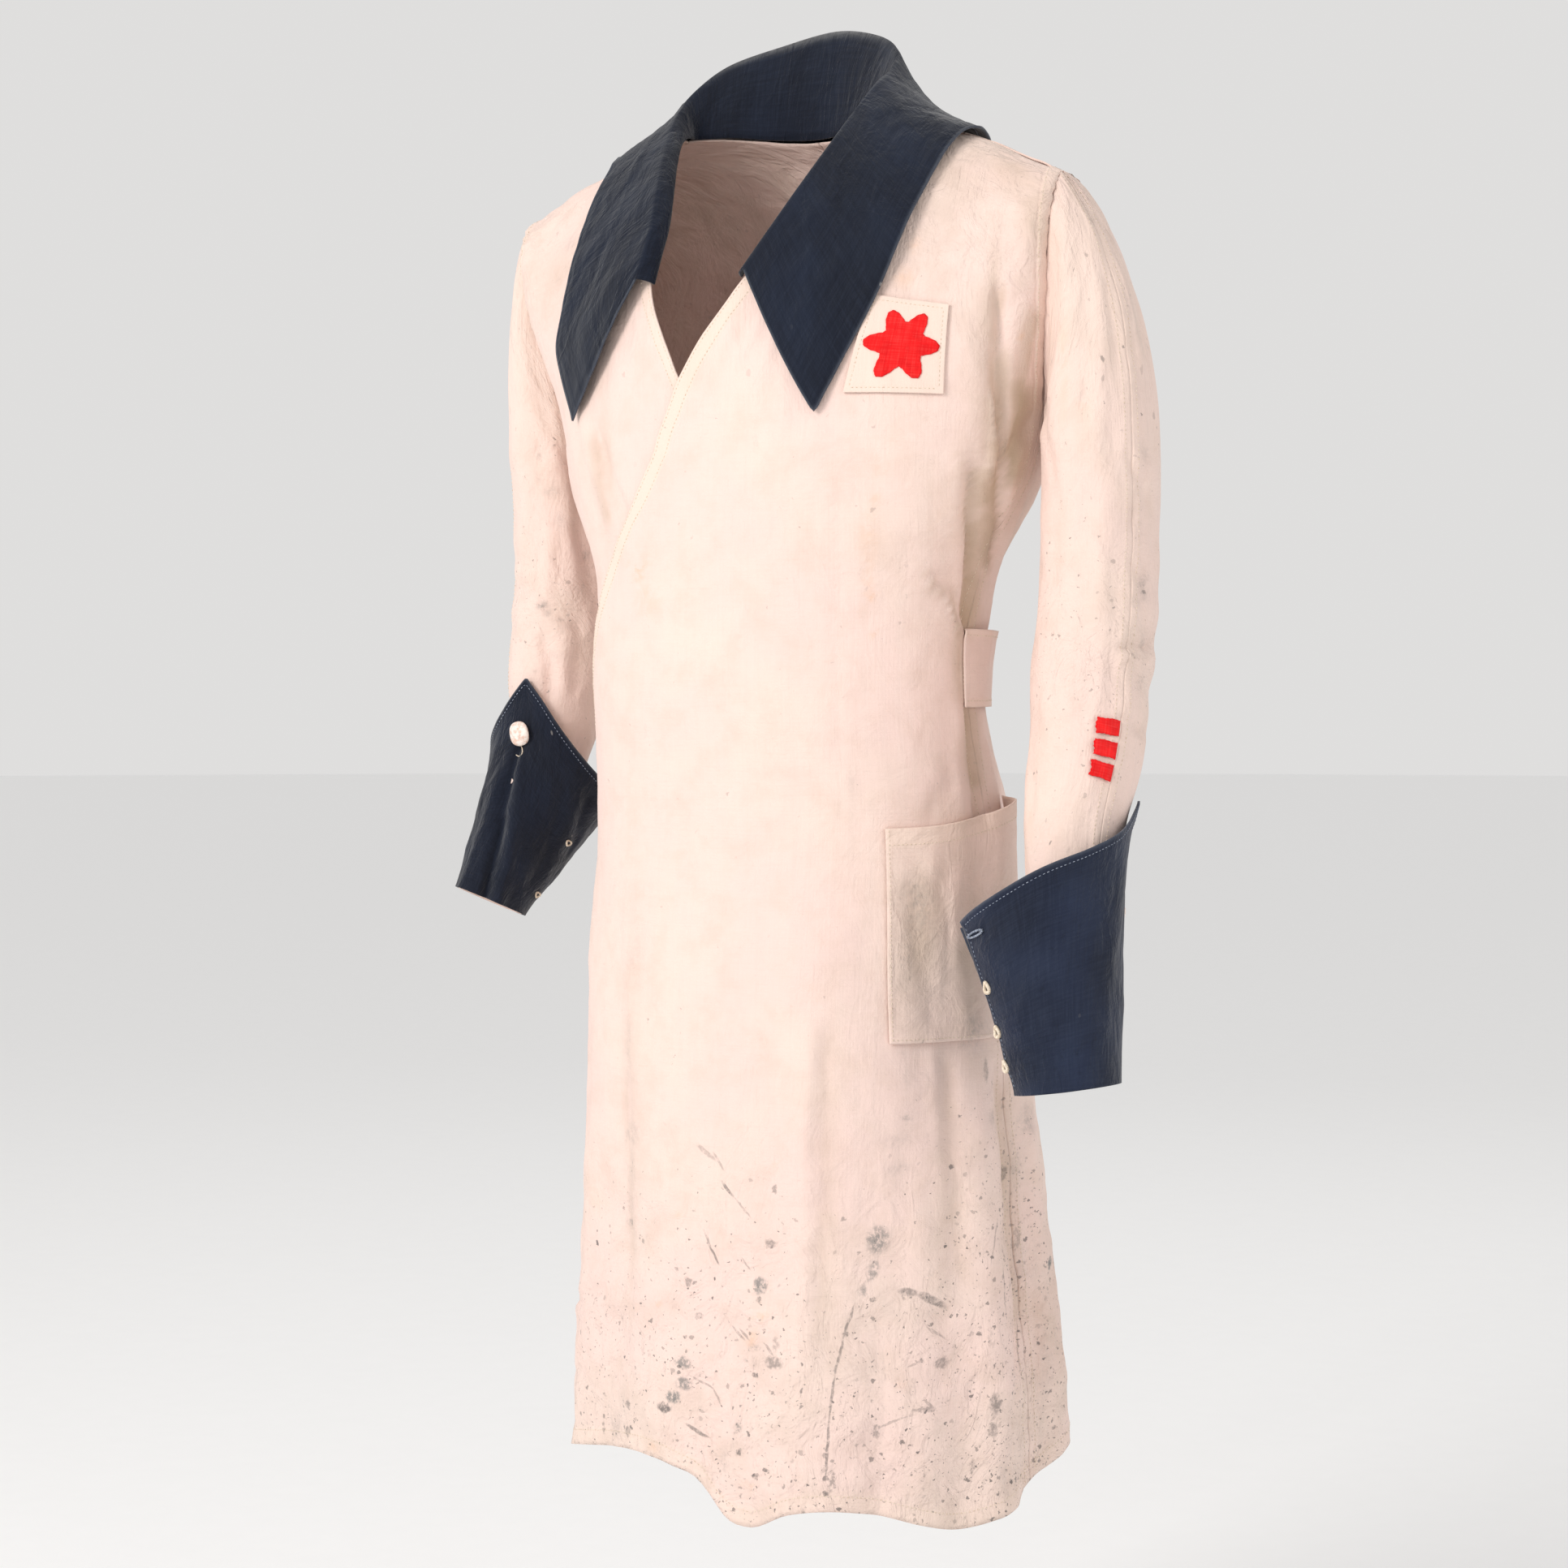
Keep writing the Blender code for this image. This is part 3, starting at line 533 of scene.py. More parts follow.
class Cloth:
    """One cut piece: its grid of outer points, the places on the cloth and what marks it."""

    def __init__(self, name, grid, place, outward):
        self.name = name
        self.place = place
        self.outward = outward
        self.marks = {}
        self.base = grid
        self.set_lift(np.zeros(grid.shape[:2]))

    def face_out(self, grid):
        across = np.gradient(grid, axis=1)
        up = np.gradient(grid, axis=0)
        normal = np.cross(across, up) * self.outward
        return normal / np.maximum(np.linalg.norm(normal, axis=-1, keepdims=True), 1e-12)

    def set_lift(self, lift):
        self.grid = self.base + self.face_out(self.base) * lift[..., None]
        self.normal = self.face_out(self.grid)

    def to_edge(self, side):
        # Length of cloth from one edge to every point
        axis = 1 if side in ("first", "last") else 0
        grid = self.grid if side in ("first", "bottom") else np.flip(self.grid, axis)
        steps = np.linalg.norm(np.diff(grid, axis=axis), axis=2)
        run = np.cumsum(steps, axis=axis)
        pad = [(1, 0), (0, 0)] if axis == 0 else [(0, 0), (1, 0)]
        run = np.pad(run, pad)
        return run if side in ("first", "bottom") else np.flip(run, axis)

    def to_edges(self, *sides):
        # Length of cloth from the nearest of some edges
        return np.minimum.reduce([self.to_edge(side) for side in sides])

    def inset(self, side, depth, trim=(0.0, 0.0)):
        # A line that runs at one depth in from an edge, with its way out of the cloth
        run = self.to_edge(side)
        grid, normal = self.grid, self.normal
        if side in ("bottom", "top"):
            run = run.T
            grid = grid.transpose(1, 0, 2)
            normal = normal.transpose(1, 0, 2)
        if side in ("last", "top"):
            run = run[:, ::-1]
            grid = grid[:, ::-1]
            normal = normal[:, ::-1]
        index = np.clip((run < depth).sum(axis=1) - 1, 0, run.shape[1] - 2)
        line = np.arange(len(run))
        gap = np.maximum(run[line, index + 1] - run[line, index], 1e-9)
        part = np.clip((depth - run[line, index]) / gap, 0.0, 1.0)[:, None]
        spots = grid[line, index] * (1.0 - part) + grid[line, index + 1] * part
        ways = normal[line, index] * (1.0 - part) + normal[line, index + 1] * part
        length = np.concatenate([[0.0], np.cumsum(np.linalg.norm(np.diff(spots, axis=0), axis=1))])
        keep = (length >= trim[0]) & (length <= length[-1] - trim[1])
        return spots[keep], ways[keep]


def laid_mesh(name, points, faces, finish, thickness=0.0):
    # A smooth mesh on the part's one body; a thickness makes a wall of it, inwards
    mesh = bpy.data.meshes.new(name)
    mesh.from_pydata([tuple(point) for point in points], [], faces)
    mesh.update()
    mesh.shade_smooth()
    item = bpy.data.objects.new(name, mesh)
    bpy.context.scene.collection.objects.link(item)
    mesh.materials.append(finish)
    if thickness:
        wall = item.modifiers.new("wall", "SOLIDIFY")
        wall.thickness = thickness
        wall.offset = -1.0
    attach(item, "root")
    return item


def mark_points(mesh, flat, corners, marks):
    # Places on the flat cloth as a UV map, and each mark as a value on every point
    layer = mesh.uv_layers.new(name="cloth")
    layer.data.foreach_set("uv", flat[corners].astype(np.float32).ravel())
    for mark, values in marks.items():
        layer = mesh.attributes.new(mark, "FLOAT", "POINT")
        layer.data.foreach_set("value", np.asarray(values, np.float32).ravel())


def ring_faces(rings, steps):
    # Faces between rings of points, each ring with as many points
    faces = []
    for ring in range(rings - 1):
        for step in range(steps):
            low = ring * steps + step
            near = ring * steps + (step + 1) % steps
            faces.append((low, near, near + steps, low + steps))
    return faces


def make_cloth(piece, finish, thickness, node):
    # The shell of a piece, with its places as a UV map and its marks as values on its points
    rows, columns = piece.grid.shape[:2]
    corner = (np.arange(rows - 1)[:, None] * columns + np.arange(columns - 1)[None, :]).ravel()
    faces = np.stack([corner, corner + 1, corner + columns + 1, corner + columns], axis=1)
    if piece.outward < 0:
        faces = faces[:, ::-1]
    item = laid_mesh(piece.name, piece.grid.reshape(-1, 3).tolist(), faces.tolist(), finish, thickness)
    blank = np.zeros((rows, columns))
    marks = {mark: piece.marks.get(mark, blank) for mark in CLOTH_MARKS}
    mark_points(item.data, piece.place.reshape(-1, 2), faces.ravel(), marks)
    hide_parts(node)
    return item


def make_threads(name, lines, finish, pitch=0.0031, length=0.0022, radius=0.00026, lift=0.00012):
    # Topstitching: one small lens of thread for every stitch of every line
    points = []
    faces = []
    ring = 5
    for spots, ways in lines:
        steps = np.linalg.norm(np.diff(spots, axis=0), axis=1)
        run = np.concatenate([[0.0], np.cumsum(steps)])
        for start in np.arange(0.5 * pitch, run[-1] - length, pitch):
            ends = [np.array([np.interp(at, run, spots[:, axis]) for axis in range(3)])
                    for at in (start, start + length)]
            way = np.array([np.interp(start, run, ways[:, axis]) for axis in range(3)])
            way = way / np.linalg.norm(way)
            along = ends[1] - ends[0]
            along = along / max(np.linalg.norm(along), 1e-9)
            side = np.cross(along, way)
            first = len(points)
            points.append(ends[0] - way * radius * 0.6)
            for part in (0.28, 0.72):
                middle = ends[0] + (ends[1] - ends[0]) * part + way * lift
                for step in range(ring):
                    turn = math.tau * step / ring
                    points.append(middle + radius * (math.cos(turn) * way + math.sin(turn) * side))
            points.append(ends[1] - way * radius * 0.6)
            for step in range(ring):
                near = (step + 1) % ring
                faces.append((first, first + 1 + near, first + 1 + step))
                faces.append((first + 1 + step, first + 1 + near, first + 6 + near, first + 6 + step))
                faces.append((first + 11, first + 6 + step, first + 6 + near))
    return laid_mesh(name, points, faces, finish)


# Marks carried on every point of a piece: the dirt mark holds dirt and grey shade painted in fold hollows,
# and on the body the shade mark holds painted fold shade
CLOTH_MARKS = ("dirt", "blot", "rust", "specks", "warm", "shade", "crumple")
# Marks noted on the photo: pixels across and down, half sizes in pixels, strength
# Most are dirt; the tall soft grey ones down a fold hollow near the skirt's front edge and round the pocket
# are painted shade
NOTED_DIRT_AND_SHADE_BLOTS = (
    (1084, 1528, 22, 30, 0.62), (1077, 1565, 12, 20, 0.6), (1063, 1592, 8, 14, 0.6),
    (1018, 1823, 3, 4, 0.9), (1017, 1839, 3, 3.5, 1.0), (1043, 1645, 3, 3, 0.8),
    (1120, 1377, 20, 12, 0.5), (1105, 1404, 18, 8, 0.3), (1110, 1442, 14, 7, 0.4),
    (1122, 1457, 10, 4, 0.4), (1127, 1511, 6, 4, 0.5), (1122, 1527, 10, 4, 0.4), (1106, 1552, 8, 5, 0.5),
    (1146, 1570, 10, 9, 0.5), (1095, 1595, 14, 6, 0.4), (1076, 1602, 4, 3, 0.8), (1162, 1680, 9, 7, 0.75),
    (1137, 1677, 3, 2.5, 0.8), (1081, 1766, 4, 8, 0.8), (1084, 1800, 4, 9, 0.3), (1082, 1720, 8, 4, 0.35),
    (1227, 1730, 6, 13, 0.85), (1225, 1762, 6, 8, 0.7), (1215, 1702, 5, 8, 0.45),
    (1202, 1815, 4, 13, 0.5), (1194, 1830, 6, 8, 0.4), (1237, 1800, 3, 12, 0.5), (843, 1679, 13, 10, 0.7),
    (842, 1706, 12, 10, 0.8), (830, 1722, 10, 9, 0.95), (819, 1735, 8, 6, 1.1), (776, 1764, 3, 6, 0.8),
    (760, 1760, 8, 20, 0.3), (775, 1730, 3, 5, 0.8), (910, 1760, 7, 12, 0.7), (912, 1790, 3, 3, 0.9),
    (932, 1818, 4, 3, 1.1), (945, 1812, 3, 2.5, 1.0), (890, 1832, 6, 10, 0.3), (894, 1800, 6, 16, 0.3),
    (938, 1585, 9, 12, 0.9), (936, 1602, 3, 5, 0.9), (962, 1585, 7, 9, 0.5), (950, 1532, 6, 5, 0.8),
    (955, 1466, 3, 5, 0.7), (968, 1441, 9, 6, 0.45), (988, 1475, 5, 8, 0.55), (930, 1660, 12, 8, 0.6),
    (917, 1677, 8, 8, 0.5), (954, 1680, 10, 7, 0.75), (932, 1696, 3.5, 3, 1.0),
    (951, 1716, 2.5, 2.5, 0.8), (922, 1715, 4, 14, 0.5), (925, 1740, 6, 10, 0.45), (849, 1580, 5, 5, 0.7),
    (866, 1577, 4, 5, 0.4), (861, 1621, 5, 4, 0.6), (846, 1647, 2.5, 2.5, 0.7),
    (854, 1648, 2.5, 2.5, 0.7), (833, 1563, 2, 2, 0.7), (778, 1398, 9, 15, 0.45), (775, 1505, 7, 9, 0.6),
    (777, 1300, 8, 60, 0.16), (776, 1460, 9, 60, 0.2), (782, 1180, 9, 60, 0.12), (1240, 1445, 3, 9, 0.7),
    (1270, 1512, 5, 6, 0.85), (1278, 1470, 4, 4, 0.7), (1295, 1557, 4, 9, 1.1), (1267, 1380, 12, 22, 0.4),
    (1223, 1368, 4, 25, 0.45), (1290, 1636, 4, 5, 0.7), (1245, 1585, 4, 18, 0.5),
    (1287, 1500, 12, 24, 0.25), (1262, 1560, 16, 40, 0.2), (1250, 1440, 10, 40, 0.25),
    (1285, 1700, 10, 60, 0.2), (1130, 1120, 26, 44, 0.32), (1118, 1160, 16, 60, 0.22),
    (1198, 1270, 20, 28, 0.4), (1150, 1230, 16, 30, 0.12), (1216, 1320, 3, 14, 0.6),
    (1212, 1360, 3, 10, 0.4), (1030, 560, 40, 60, 0.06), (1170, 960, 26, 40, 0.1),
    (1115, 1300, 18, 10, 0.14), (1120, 1330, 14, 16, 0.1), (706, 300, 10, 6, 0.25),
    (668, 300, 4, 10, 0.3), (708, 268, 8, 4, 0.3), (1195, 330, 8, 10, 0.12),
)
NOTED_RUST_SPOTS = (
    (790, 702, 9, 12, 0.75), (778, 690, 4, 4, 0.5), (806, 714, 4, 4, 0.55), (798, 762, 3, 3, 0.7),
    (798, 735, 16, 24, 0.25), (1080, 618, 8, 9, 0.4), (1072, 660, 12, 30, 0.3), (1077, 738, 4, 6, 0.7),
    (1070, 715, 9, 40, 0.3), (1078, 782, 4, 5, 0.8), (1116, 340, 18, 9, 0.35), (1128, 300, 8, 10, 0.3),
    (1105, 250, 10, 14, 0.15), (1085, 575, 12, 14, 0.2), (1110, 430, 1, 1, 0.1), (935, 1622, 12, 10, 0.7),
    (926, 1650, 7, 10, 0.65), (926, 1830, 8, 8, 0.45), (833, 1495, 3, 6, 0.7), (785, 1610, 3, 3, 0.7),
    (812, 1608, 3, 3, 0.7), (890, 1722, 3, 4, 0.7), (803, 1782, 6, 8, 0.4), (735, 1480, 12, 14, 0.22),
    (1112, 1702, 5, 9, 0.35), (1034, 1565, 4, 4, 0.35), (1258, 414, 5, 4, 0.6), (722, 1600, 5, 30, 0.2),
    (960, 1430, 6, 9, 0.2), (828, 1017, 2, 2, 0.7), (740, 810, 6, 50, 0.12), (1170, 640, 20, 40, 0.08),
    (1080, 370, 10, 14, 0.3),
)
# Left sleeve: dirt, except the three tall soft marks along its inner front edge by the armhole, which are
# painted shade
NOTED_LEFT_SLEEVE_DIRT_AND_SHADE = (
    (1411, 726, 6, 14, 0.6), (1400, 742, 10, 5, 0.35), (1408, 560, 8, 16, 0.22),
    (1396, 480, 14, 20, 0.15), (1392, 380, 10, 26, 0.2), (1404, 640, 10, 22, 0.18),
    (1411, 790, 4, 10, 0.4), (1408, 845, 4, 12, 0.35), (1372, 300, 16, 30, 0.12),
    (1345, 262, 14, 18, 0.16), (1290, 330, 6, 14, 0.3), (1275, 500, 8, 30, 0.3), (1283, 440, 6, 30, 0.3),
)
NOTED_LEFT_SLEEVE_RUST = (
    (1250, 1064, 7, 14, 0.5), (1312, 430, 9, 60, 0.22), (1258, 414, 5, 4, 0.5), (1335, 500, 14, 16, 0.14),
    (1262, 985, 3, 4, 0.4), (1265, 1010, 10, 20, 0.15), (1318, 912, 3, 3, 0.3),
)
NOTED_RIGHT_SLEEVE_DIRT = (
    (668, 746, 8, 5, 0.9), (676, 756, 6, 4, 0.6), (690, 763, 9, 2.5, 0.6), (648, 708, 3, 14, 0.6),
    (660, 824, 5, 6, 0.35), (664, 586, 4, 10, 0.3), (680, 604, 12, 8, 0.25), (720, 724, 3, 5, 0.6),
    (687, 805, 10, 8, 0.2), (690, 640, 8, 12, 0.2), (725, 685, 6, 4, 0.4), (665, 560, 3, 7, 0.35),
    (696, 770, 24, 14, 0.14), (675, 430, 8, 14, 0.2), (668, 330, 6, 14, 0.2),
)
# Streaks and creases noted in the same way: two pixels, width in millimetres, strength or rise
NOTED_DIRT_STREAKS = (
    (1053, 1608, 1042, 1645, 1.0, 0.8), (1042, 1645, 1030, 1695, 0.9, 0.8),
    (1030, 1695, 1023, 1750, 0.9, 0.85), (1023, 1750, 1018, 1822, 0.9, 0.9),
    (1110, 1592, 1134, 1594, 2.6, 0.8), (1134, 1594, 1166, 1610, 2.8, 0.85),
    (1145, 1636, 1166, 1650, 0.9, 0.5), (1120, 1685, 1137, 1677, 0.8, 0.5),
    (1125, 1737, 1151, 1734, 2.0, 0.6), (1140, 1726, 1152, 1737, 1.0, 0.6),
    (1082, 1760, 1122, 1742, 0.8, 0.5), (1160, 1820, 1190, 1790, 0.8, 0.35),
    (852, 1695, 880, 1712, 0.9, 0.6), (880, 1712, 890, 1730, 0.9, 0.6), (845, 1755, 872, 1772, 1.2, 0.85),
    (722, 1700, 760, 1692, 1.0, 0.25), (862, 1410, 882, 1430, 1.6, 0.5), (880, 1422, 893, 1442, 1.0, 0.5),
    (892, 1456, 903, 1473, 1.2, 0.9), (905, 1475, 924, 1500, 0.7, 0.5), (845, 1472, 867, 1495, 1.0, 0.4),
    (862, 1488, 882, 1512, 2.4, 0.35), (867, 1517, 880, 1546, 0.9, 0.6),
    (875, 1535, 888, 1558, 0.9, 0.85), (900, 1515, 920, 1536, 0.6, 0.4), (915, 1550, 926, 1566, 0.7, 0.5),
    (902, 1635, 918, 1651, 1.0, 0.6), (912, 1637, 924, 1652, 0.8, 0.6), (940, 1655, 953, 1671, 0.9, 0.6),
    (900, 1428, 926, 1470, 0.5, 0.25), (1257, 1630, 1258, 1690, 0.7, 0.6),
    (1230, 1500, 1222, 1555, 0.8, 0.5), (1236, 1560, 1243, 1620, 0.9, 0.6),
    (1264, 1380, 1290, 1430, 1.2, 0.3), (1300, 1560, 1306, 1620, 1.0, 0.5),
    (1246, 1780, 1240, 1840, 0.9, 0.4), (1205, 1790, 1190, 1840, 1.0, 0.4),
)
NOTED_BODY_CREASES = (
    (1028, 600, 1032, 760, 2.2, -0.7), (1032, 760, 1036, 920, 2.2, -0.6),
    (1036, 920, 1034, 1010, 2.5, -0.4), (1198, 420, 1210, 560, 10, 1.6), (1182, 560, 1184, 720, 8, 1.3),
    (1272, 520, 1240, 566, 6, -2.6), (1258, 560, 1225, 650, 7, 1.8), (1140, 708, 1176, 708, 3, -1.4),
    (1142, 710, 1166, 742, 3.2, 2.2), (1166, 742, 1184, 772, 3.5, 2.4), (1150, 706, 1178, 730, 4, -1.2),
    (1205, 530, 1232, 566, 4, -1.2), (945, 405, 920, 455, 5, -1.0), (925, 390, 900, 440, 5, -0.9),
    (965, 420, 950, 470, 5, -0.7), (730, 540, 764, 636, 7, -2.4), (715, 520, 745, 640, 8, 1.6),
    (700, 560, 735, 700, 6, -1.4), (770, 480, 790, 560, 7, -1.0), (735, 410, 720, 470, 6, -1.2),
    (1193, 872, 1206, 1004, 5, -2.2), (1178, 880, 1184, 1000, 7, 1.5), (1216, 920, 1232, 980, 6, 1.4),
    (1170, 960, 1145, 1000, 6, -1.0), (1155, 990, 1185, 950, 4, -0.8), (775, 1130, 786, 1310, 7, 1.6),
    (792, 1150, 800, 1330, 8, -1.4), (768, 1330, 776, 1560, 9, -1.8), (1020, 1300, 1010, 1620, 7, -1.7),
    (1000, 1300, 990, 1640, 9, 1.5), (1150, 1300, 1166, 1480, 7, 1.5), (1165, 1320, 1182, 1560, 8, -1.6),
    (1120, 1420, 1110, 1640, 9, -1.0), (1232, 1350, 1256, 1620, 7, -2.6),
    (1256, 1620, 1246, 1830, 7, -2.4), (1272, 1400, 1290, 1700, 8, 2.0), (725, 1616, 806, 1596, 4, 1.2),
    (716, 1600, 740, 1590, 4, -1.6), (722, 1690, 778, 1680, 3, -0.6), (860, 1700, 890, 1800, 8, -1.6),
    (900, 1690, 905, 1830, 9, 1.4), (1080, 1640, 1084, 1860, 9, -1.3), (950, 1100, 958, 1400, 12, -0.9),
    (890, 1000, 880, 1300, 14, 0.8), (845, 900, 850, 1100, 10, -0.7), (1060, 950, 1066, 1200, 10, -0.6),
    (930, 720, 990, 760, 6, -0.6), (905, 735, 960, 790, 7, 0.5), (800, 800, 840, 860, 8, -0.6),
    (990, 500, 975, 560, 8, -0.7), (860, 560, 850, 660, 8, -0.7), (930, 1180, 990, 1150, 4, -0.4),
    (1000, 1250, 940, 1270, 4, -0.35), (870, 960, 910, 1010, 6, -0.5),
)
NOTED_LEFT_SLEEVE_CREASES = (
    (1330, 310, 1336, 520, 8, -1.2), (1336, 520, 1342, 860, 9, -0.8), (1310, 300, 1300, 470, 8, 1.2),
    (1380, 340, 1404, 440, 4, 1.4), (1392, 330, 1412, 430, 4, -1.2), (1375, 460, 1404, 400, 4, -0.8),
    (1390, 560, 1414, 620, 5, -1.2), (1392, 640, 1414, 560, 4, -0.9), (1396, 700, 1412, 770, 3, -1.0),
    (1412, 700, 1398, 740, 3, -0.8), (1300, 600, 1296, 760, 7, -1.0), (1288, 480, 1296, 600, 6, -1.4),
    (1355, 620, 1352, 860, 9, 0.8), (1275, 880, 1270, 1000, 8, -1.0), (1310, 1000, 1280, 1050, 6, -0.8),
    (1300, 240, 1330, 262, 4, -0.8), (1312, 236, 1350, 290, 6, 0.8), (1368, 350, 1372, 560, 5, -0.9),
    (1360, 250, 1385, 310, 6, -0.9), (1345, 240, 1368, 290, 5, 0.7), (1340, 930, 1320, 990, 7, -0.5),
    (1372, 700, 1368, 860, 6, -0.6),
)
NOTED_RIGHT_SLEEVE_CREASES = (
    (673, 790, 678, 858, 6, -2.6), (690, 770, 698, 860, 8, 1.6), (712, 770, 712, 850, 6, -1.6),
    (704, 560, 728, 728, 7, -2.4), (690, 560, 708, 720, 8, 1.5), (662, 560, 660, 700, 9, -0.9),
    (668, 740, 700, 762, 4, -0.9), (655, 800, 668, 820, 4, -1.0), (720, 860, 735, 940, 8, -1.2),
    (700, 470, 716, 560, 7, -1.4), (664, 420, 672, 520, 7, -0.9), (680, 640, 672, 730, 7, 0.8),
    (700, 830, 722, 900, 6, 1.2), (648, 700, 656, 740, 5, -0.8),
)
# Creases set on the cloth itself: angle and height, or angle and share of the sleeve, twice, width, rise
ARMHOLE_CREASES = (
    (68.0, -0.150, 69.6, -0.203, 5.5, -3.60),
    (69.6, -0.203, 76.0, -0.252, 5.0, -4.40),
    (76.0, -0.252, 92.0, -0.308, 5.0, -3.60),
    (66.4, -0.204, 72.6, -0.254, 5.0, 2.60),
    (65.0, -0.257, 86.0, -0.355, 4.6, -3.80),
)
ELBOW_TUCKS = (
    (57.2, 0.459, 100.0, 0.447, 3.2, -2.40),
    (57.2, 0.469, 100.0, 0.460, 4.0, 1.50),
    (64.0, 0.556, 104.0, 0.552, 3.2, -1.60),
    (64.0, 0.565, 104.0, 0.562, 4.0, 0.90),
)
# Creases and dirt of the sides that the photo doesn't show, fewer and softer
HIDDEN_CREASES = (
    (104.0, -0.45, 108.0, -0.62, 9.0, -1.6), (118.0, -0.46, 113.0, -0.70, 10.0, 1.5),
    (133.0, -0.44, 138.0, -0.60, 8.0, -1.3), (150.0, -0.46, 147.0, -0.78, 11.0, 1.4),
    (165.0, -0.45, 170.0, -0.66, 9.0, -1.2), (186.0, -0.46, 183.0, -0.74, 10.0, 1.4),
    (204.0, -0.45, 207.0, -0.63, 8.0, -1.5), (222.0, -0.46, 218.0, -0.72, 10.0, 1.2),
    (240.0, -0.45, 246.0, -0.62, 9.0, -1.4), (258.0, -0.47, 255.0, -0.76, 9.0, 1.5),
    (125.0, -0.70, 129.0, -0.93, 9.0, -1.6), (160.0, -0.68, 157.0, -0.95, 9.0, -1.4),
    (195.0, -0.72, 199.0, -0.94, 10.0, 1.5), (230.0, -0.70, 226.0, -0.93, 9.0, -1.5),
    (250.0, -0.74, 254.0, -0.95, 8.0, 1.3), (100.0, -0.25, 114.0, -0.34, 7.0, -2.0),
    (97.0, -0.28, 108.0, -0.37, 6.0, 1.3), (112.0, -0.20, 128.0, -0.27, 7.0, -1.2),
    (262.0, -0.25, 248.0, -0.34, 7.0, -2.0), (264.0, -0.29, 254.0, -0.37, 6.0, 1.3),
    (248.0, -0.20, 232.0, -0.27, 7.0, -1.2), (140.0, -0.12, 160.0, -0.15, 8.0, -0.9),
    (222.0, -0.11, 202.0, -0.15, 8.0, -0.9), (150.0, -0.33, 172.0, -0.36, 7.0, -0.8),
    (214.0, -0.32, 190.0, -0.36, 7.0, -0.8),
)
HIDDEN_DIRT = (
    (120.0, -0.86, 14.0, 9.0, 0.35), (141.0, -0.90, 9.0, 14.0, 0.30), (158.0, -0.80, 7.0, 5.0, 0.40),
    (172.0, -0.93, 16.0, 6.0, 0.28), (196.0, -0.84, 8.0, 12.0, 0.30), (210.0, -0.91, 12.0, 7.0, 0.35),
    (233.0, -0.87, 7.0, 10.0, 0.30), (252.0, -0.80, 10.0, 16.0, 0.22), (131.0, -0.62, 9.0, 7.0, 0.20),
    (205.0, -0.55, 10.0, 12.0, 0.12),
)
# Shade along folds, sharp on one side: two places, width in millimetres, strength
BODY_FOLDS = (
    (69.6, -0.203, 68.0, -0.150, 16.0, 0.42), (72.4, -0.230, 69.6, -0.203, 20.0, 0.66),
    (76.0, -0.252, 72.4, -0.230, 20.0, 0.85), (69.6, -0.184, 72.4, -0.230, 9.0, 0.55),
    (72.4, -0.230, 76.0, -0.252, 8.0, 0.60), (80.5, -0.276, 75.0, -0.250, 26.0, 0.90),
    (94.4, -0.313, 80.5, -0.276, 28.0, 0.85), (79.2, -0.195, 84.0, -0.160, 10.0, 0.50),
    (78.0, -0.245, 79.2, -0.195, 10.0, 0.72), (78.0, -0.200, 80.0, -0.257, 22.0, 0.85),
    (65.0, -0.252, 72.8, -0.290, 14.0, 0.62), (72.8, -0.290, 82.0, -0.324, 18.0, 0.80),
    (82.0, -0.324, 86.4, -0.362, 18.0, 0.85), (61.6, -0.323, 74.8, -0.342, 4.0, 0.34),
    (58.0, -0.240, 65.5, -0.262, 9.0, 0.30), (74.8, -0.342, 81.6, -0.364, 5.0, 0.60),
    (86.8, -0.416, 84.0, -0.470, 12.0, 0.70), (84.0, -0.470, 80.0, -0.520, 9.0, 0.40),
    (-34.8, -0.280, -35.6, -0.221, 10.0, 0.40), (84.8, -0.687, 86.8, -0.843, 10.0, 0.42),
    (63.6, -0.666, 64.4, -0.800, 8.0, 0.22), (32.8, -0.652, 29.6, -0.827, 9.0, 0.20),
    (-26.8, -0.679, -22.0, -0.810, 9.0, 0.20),
)
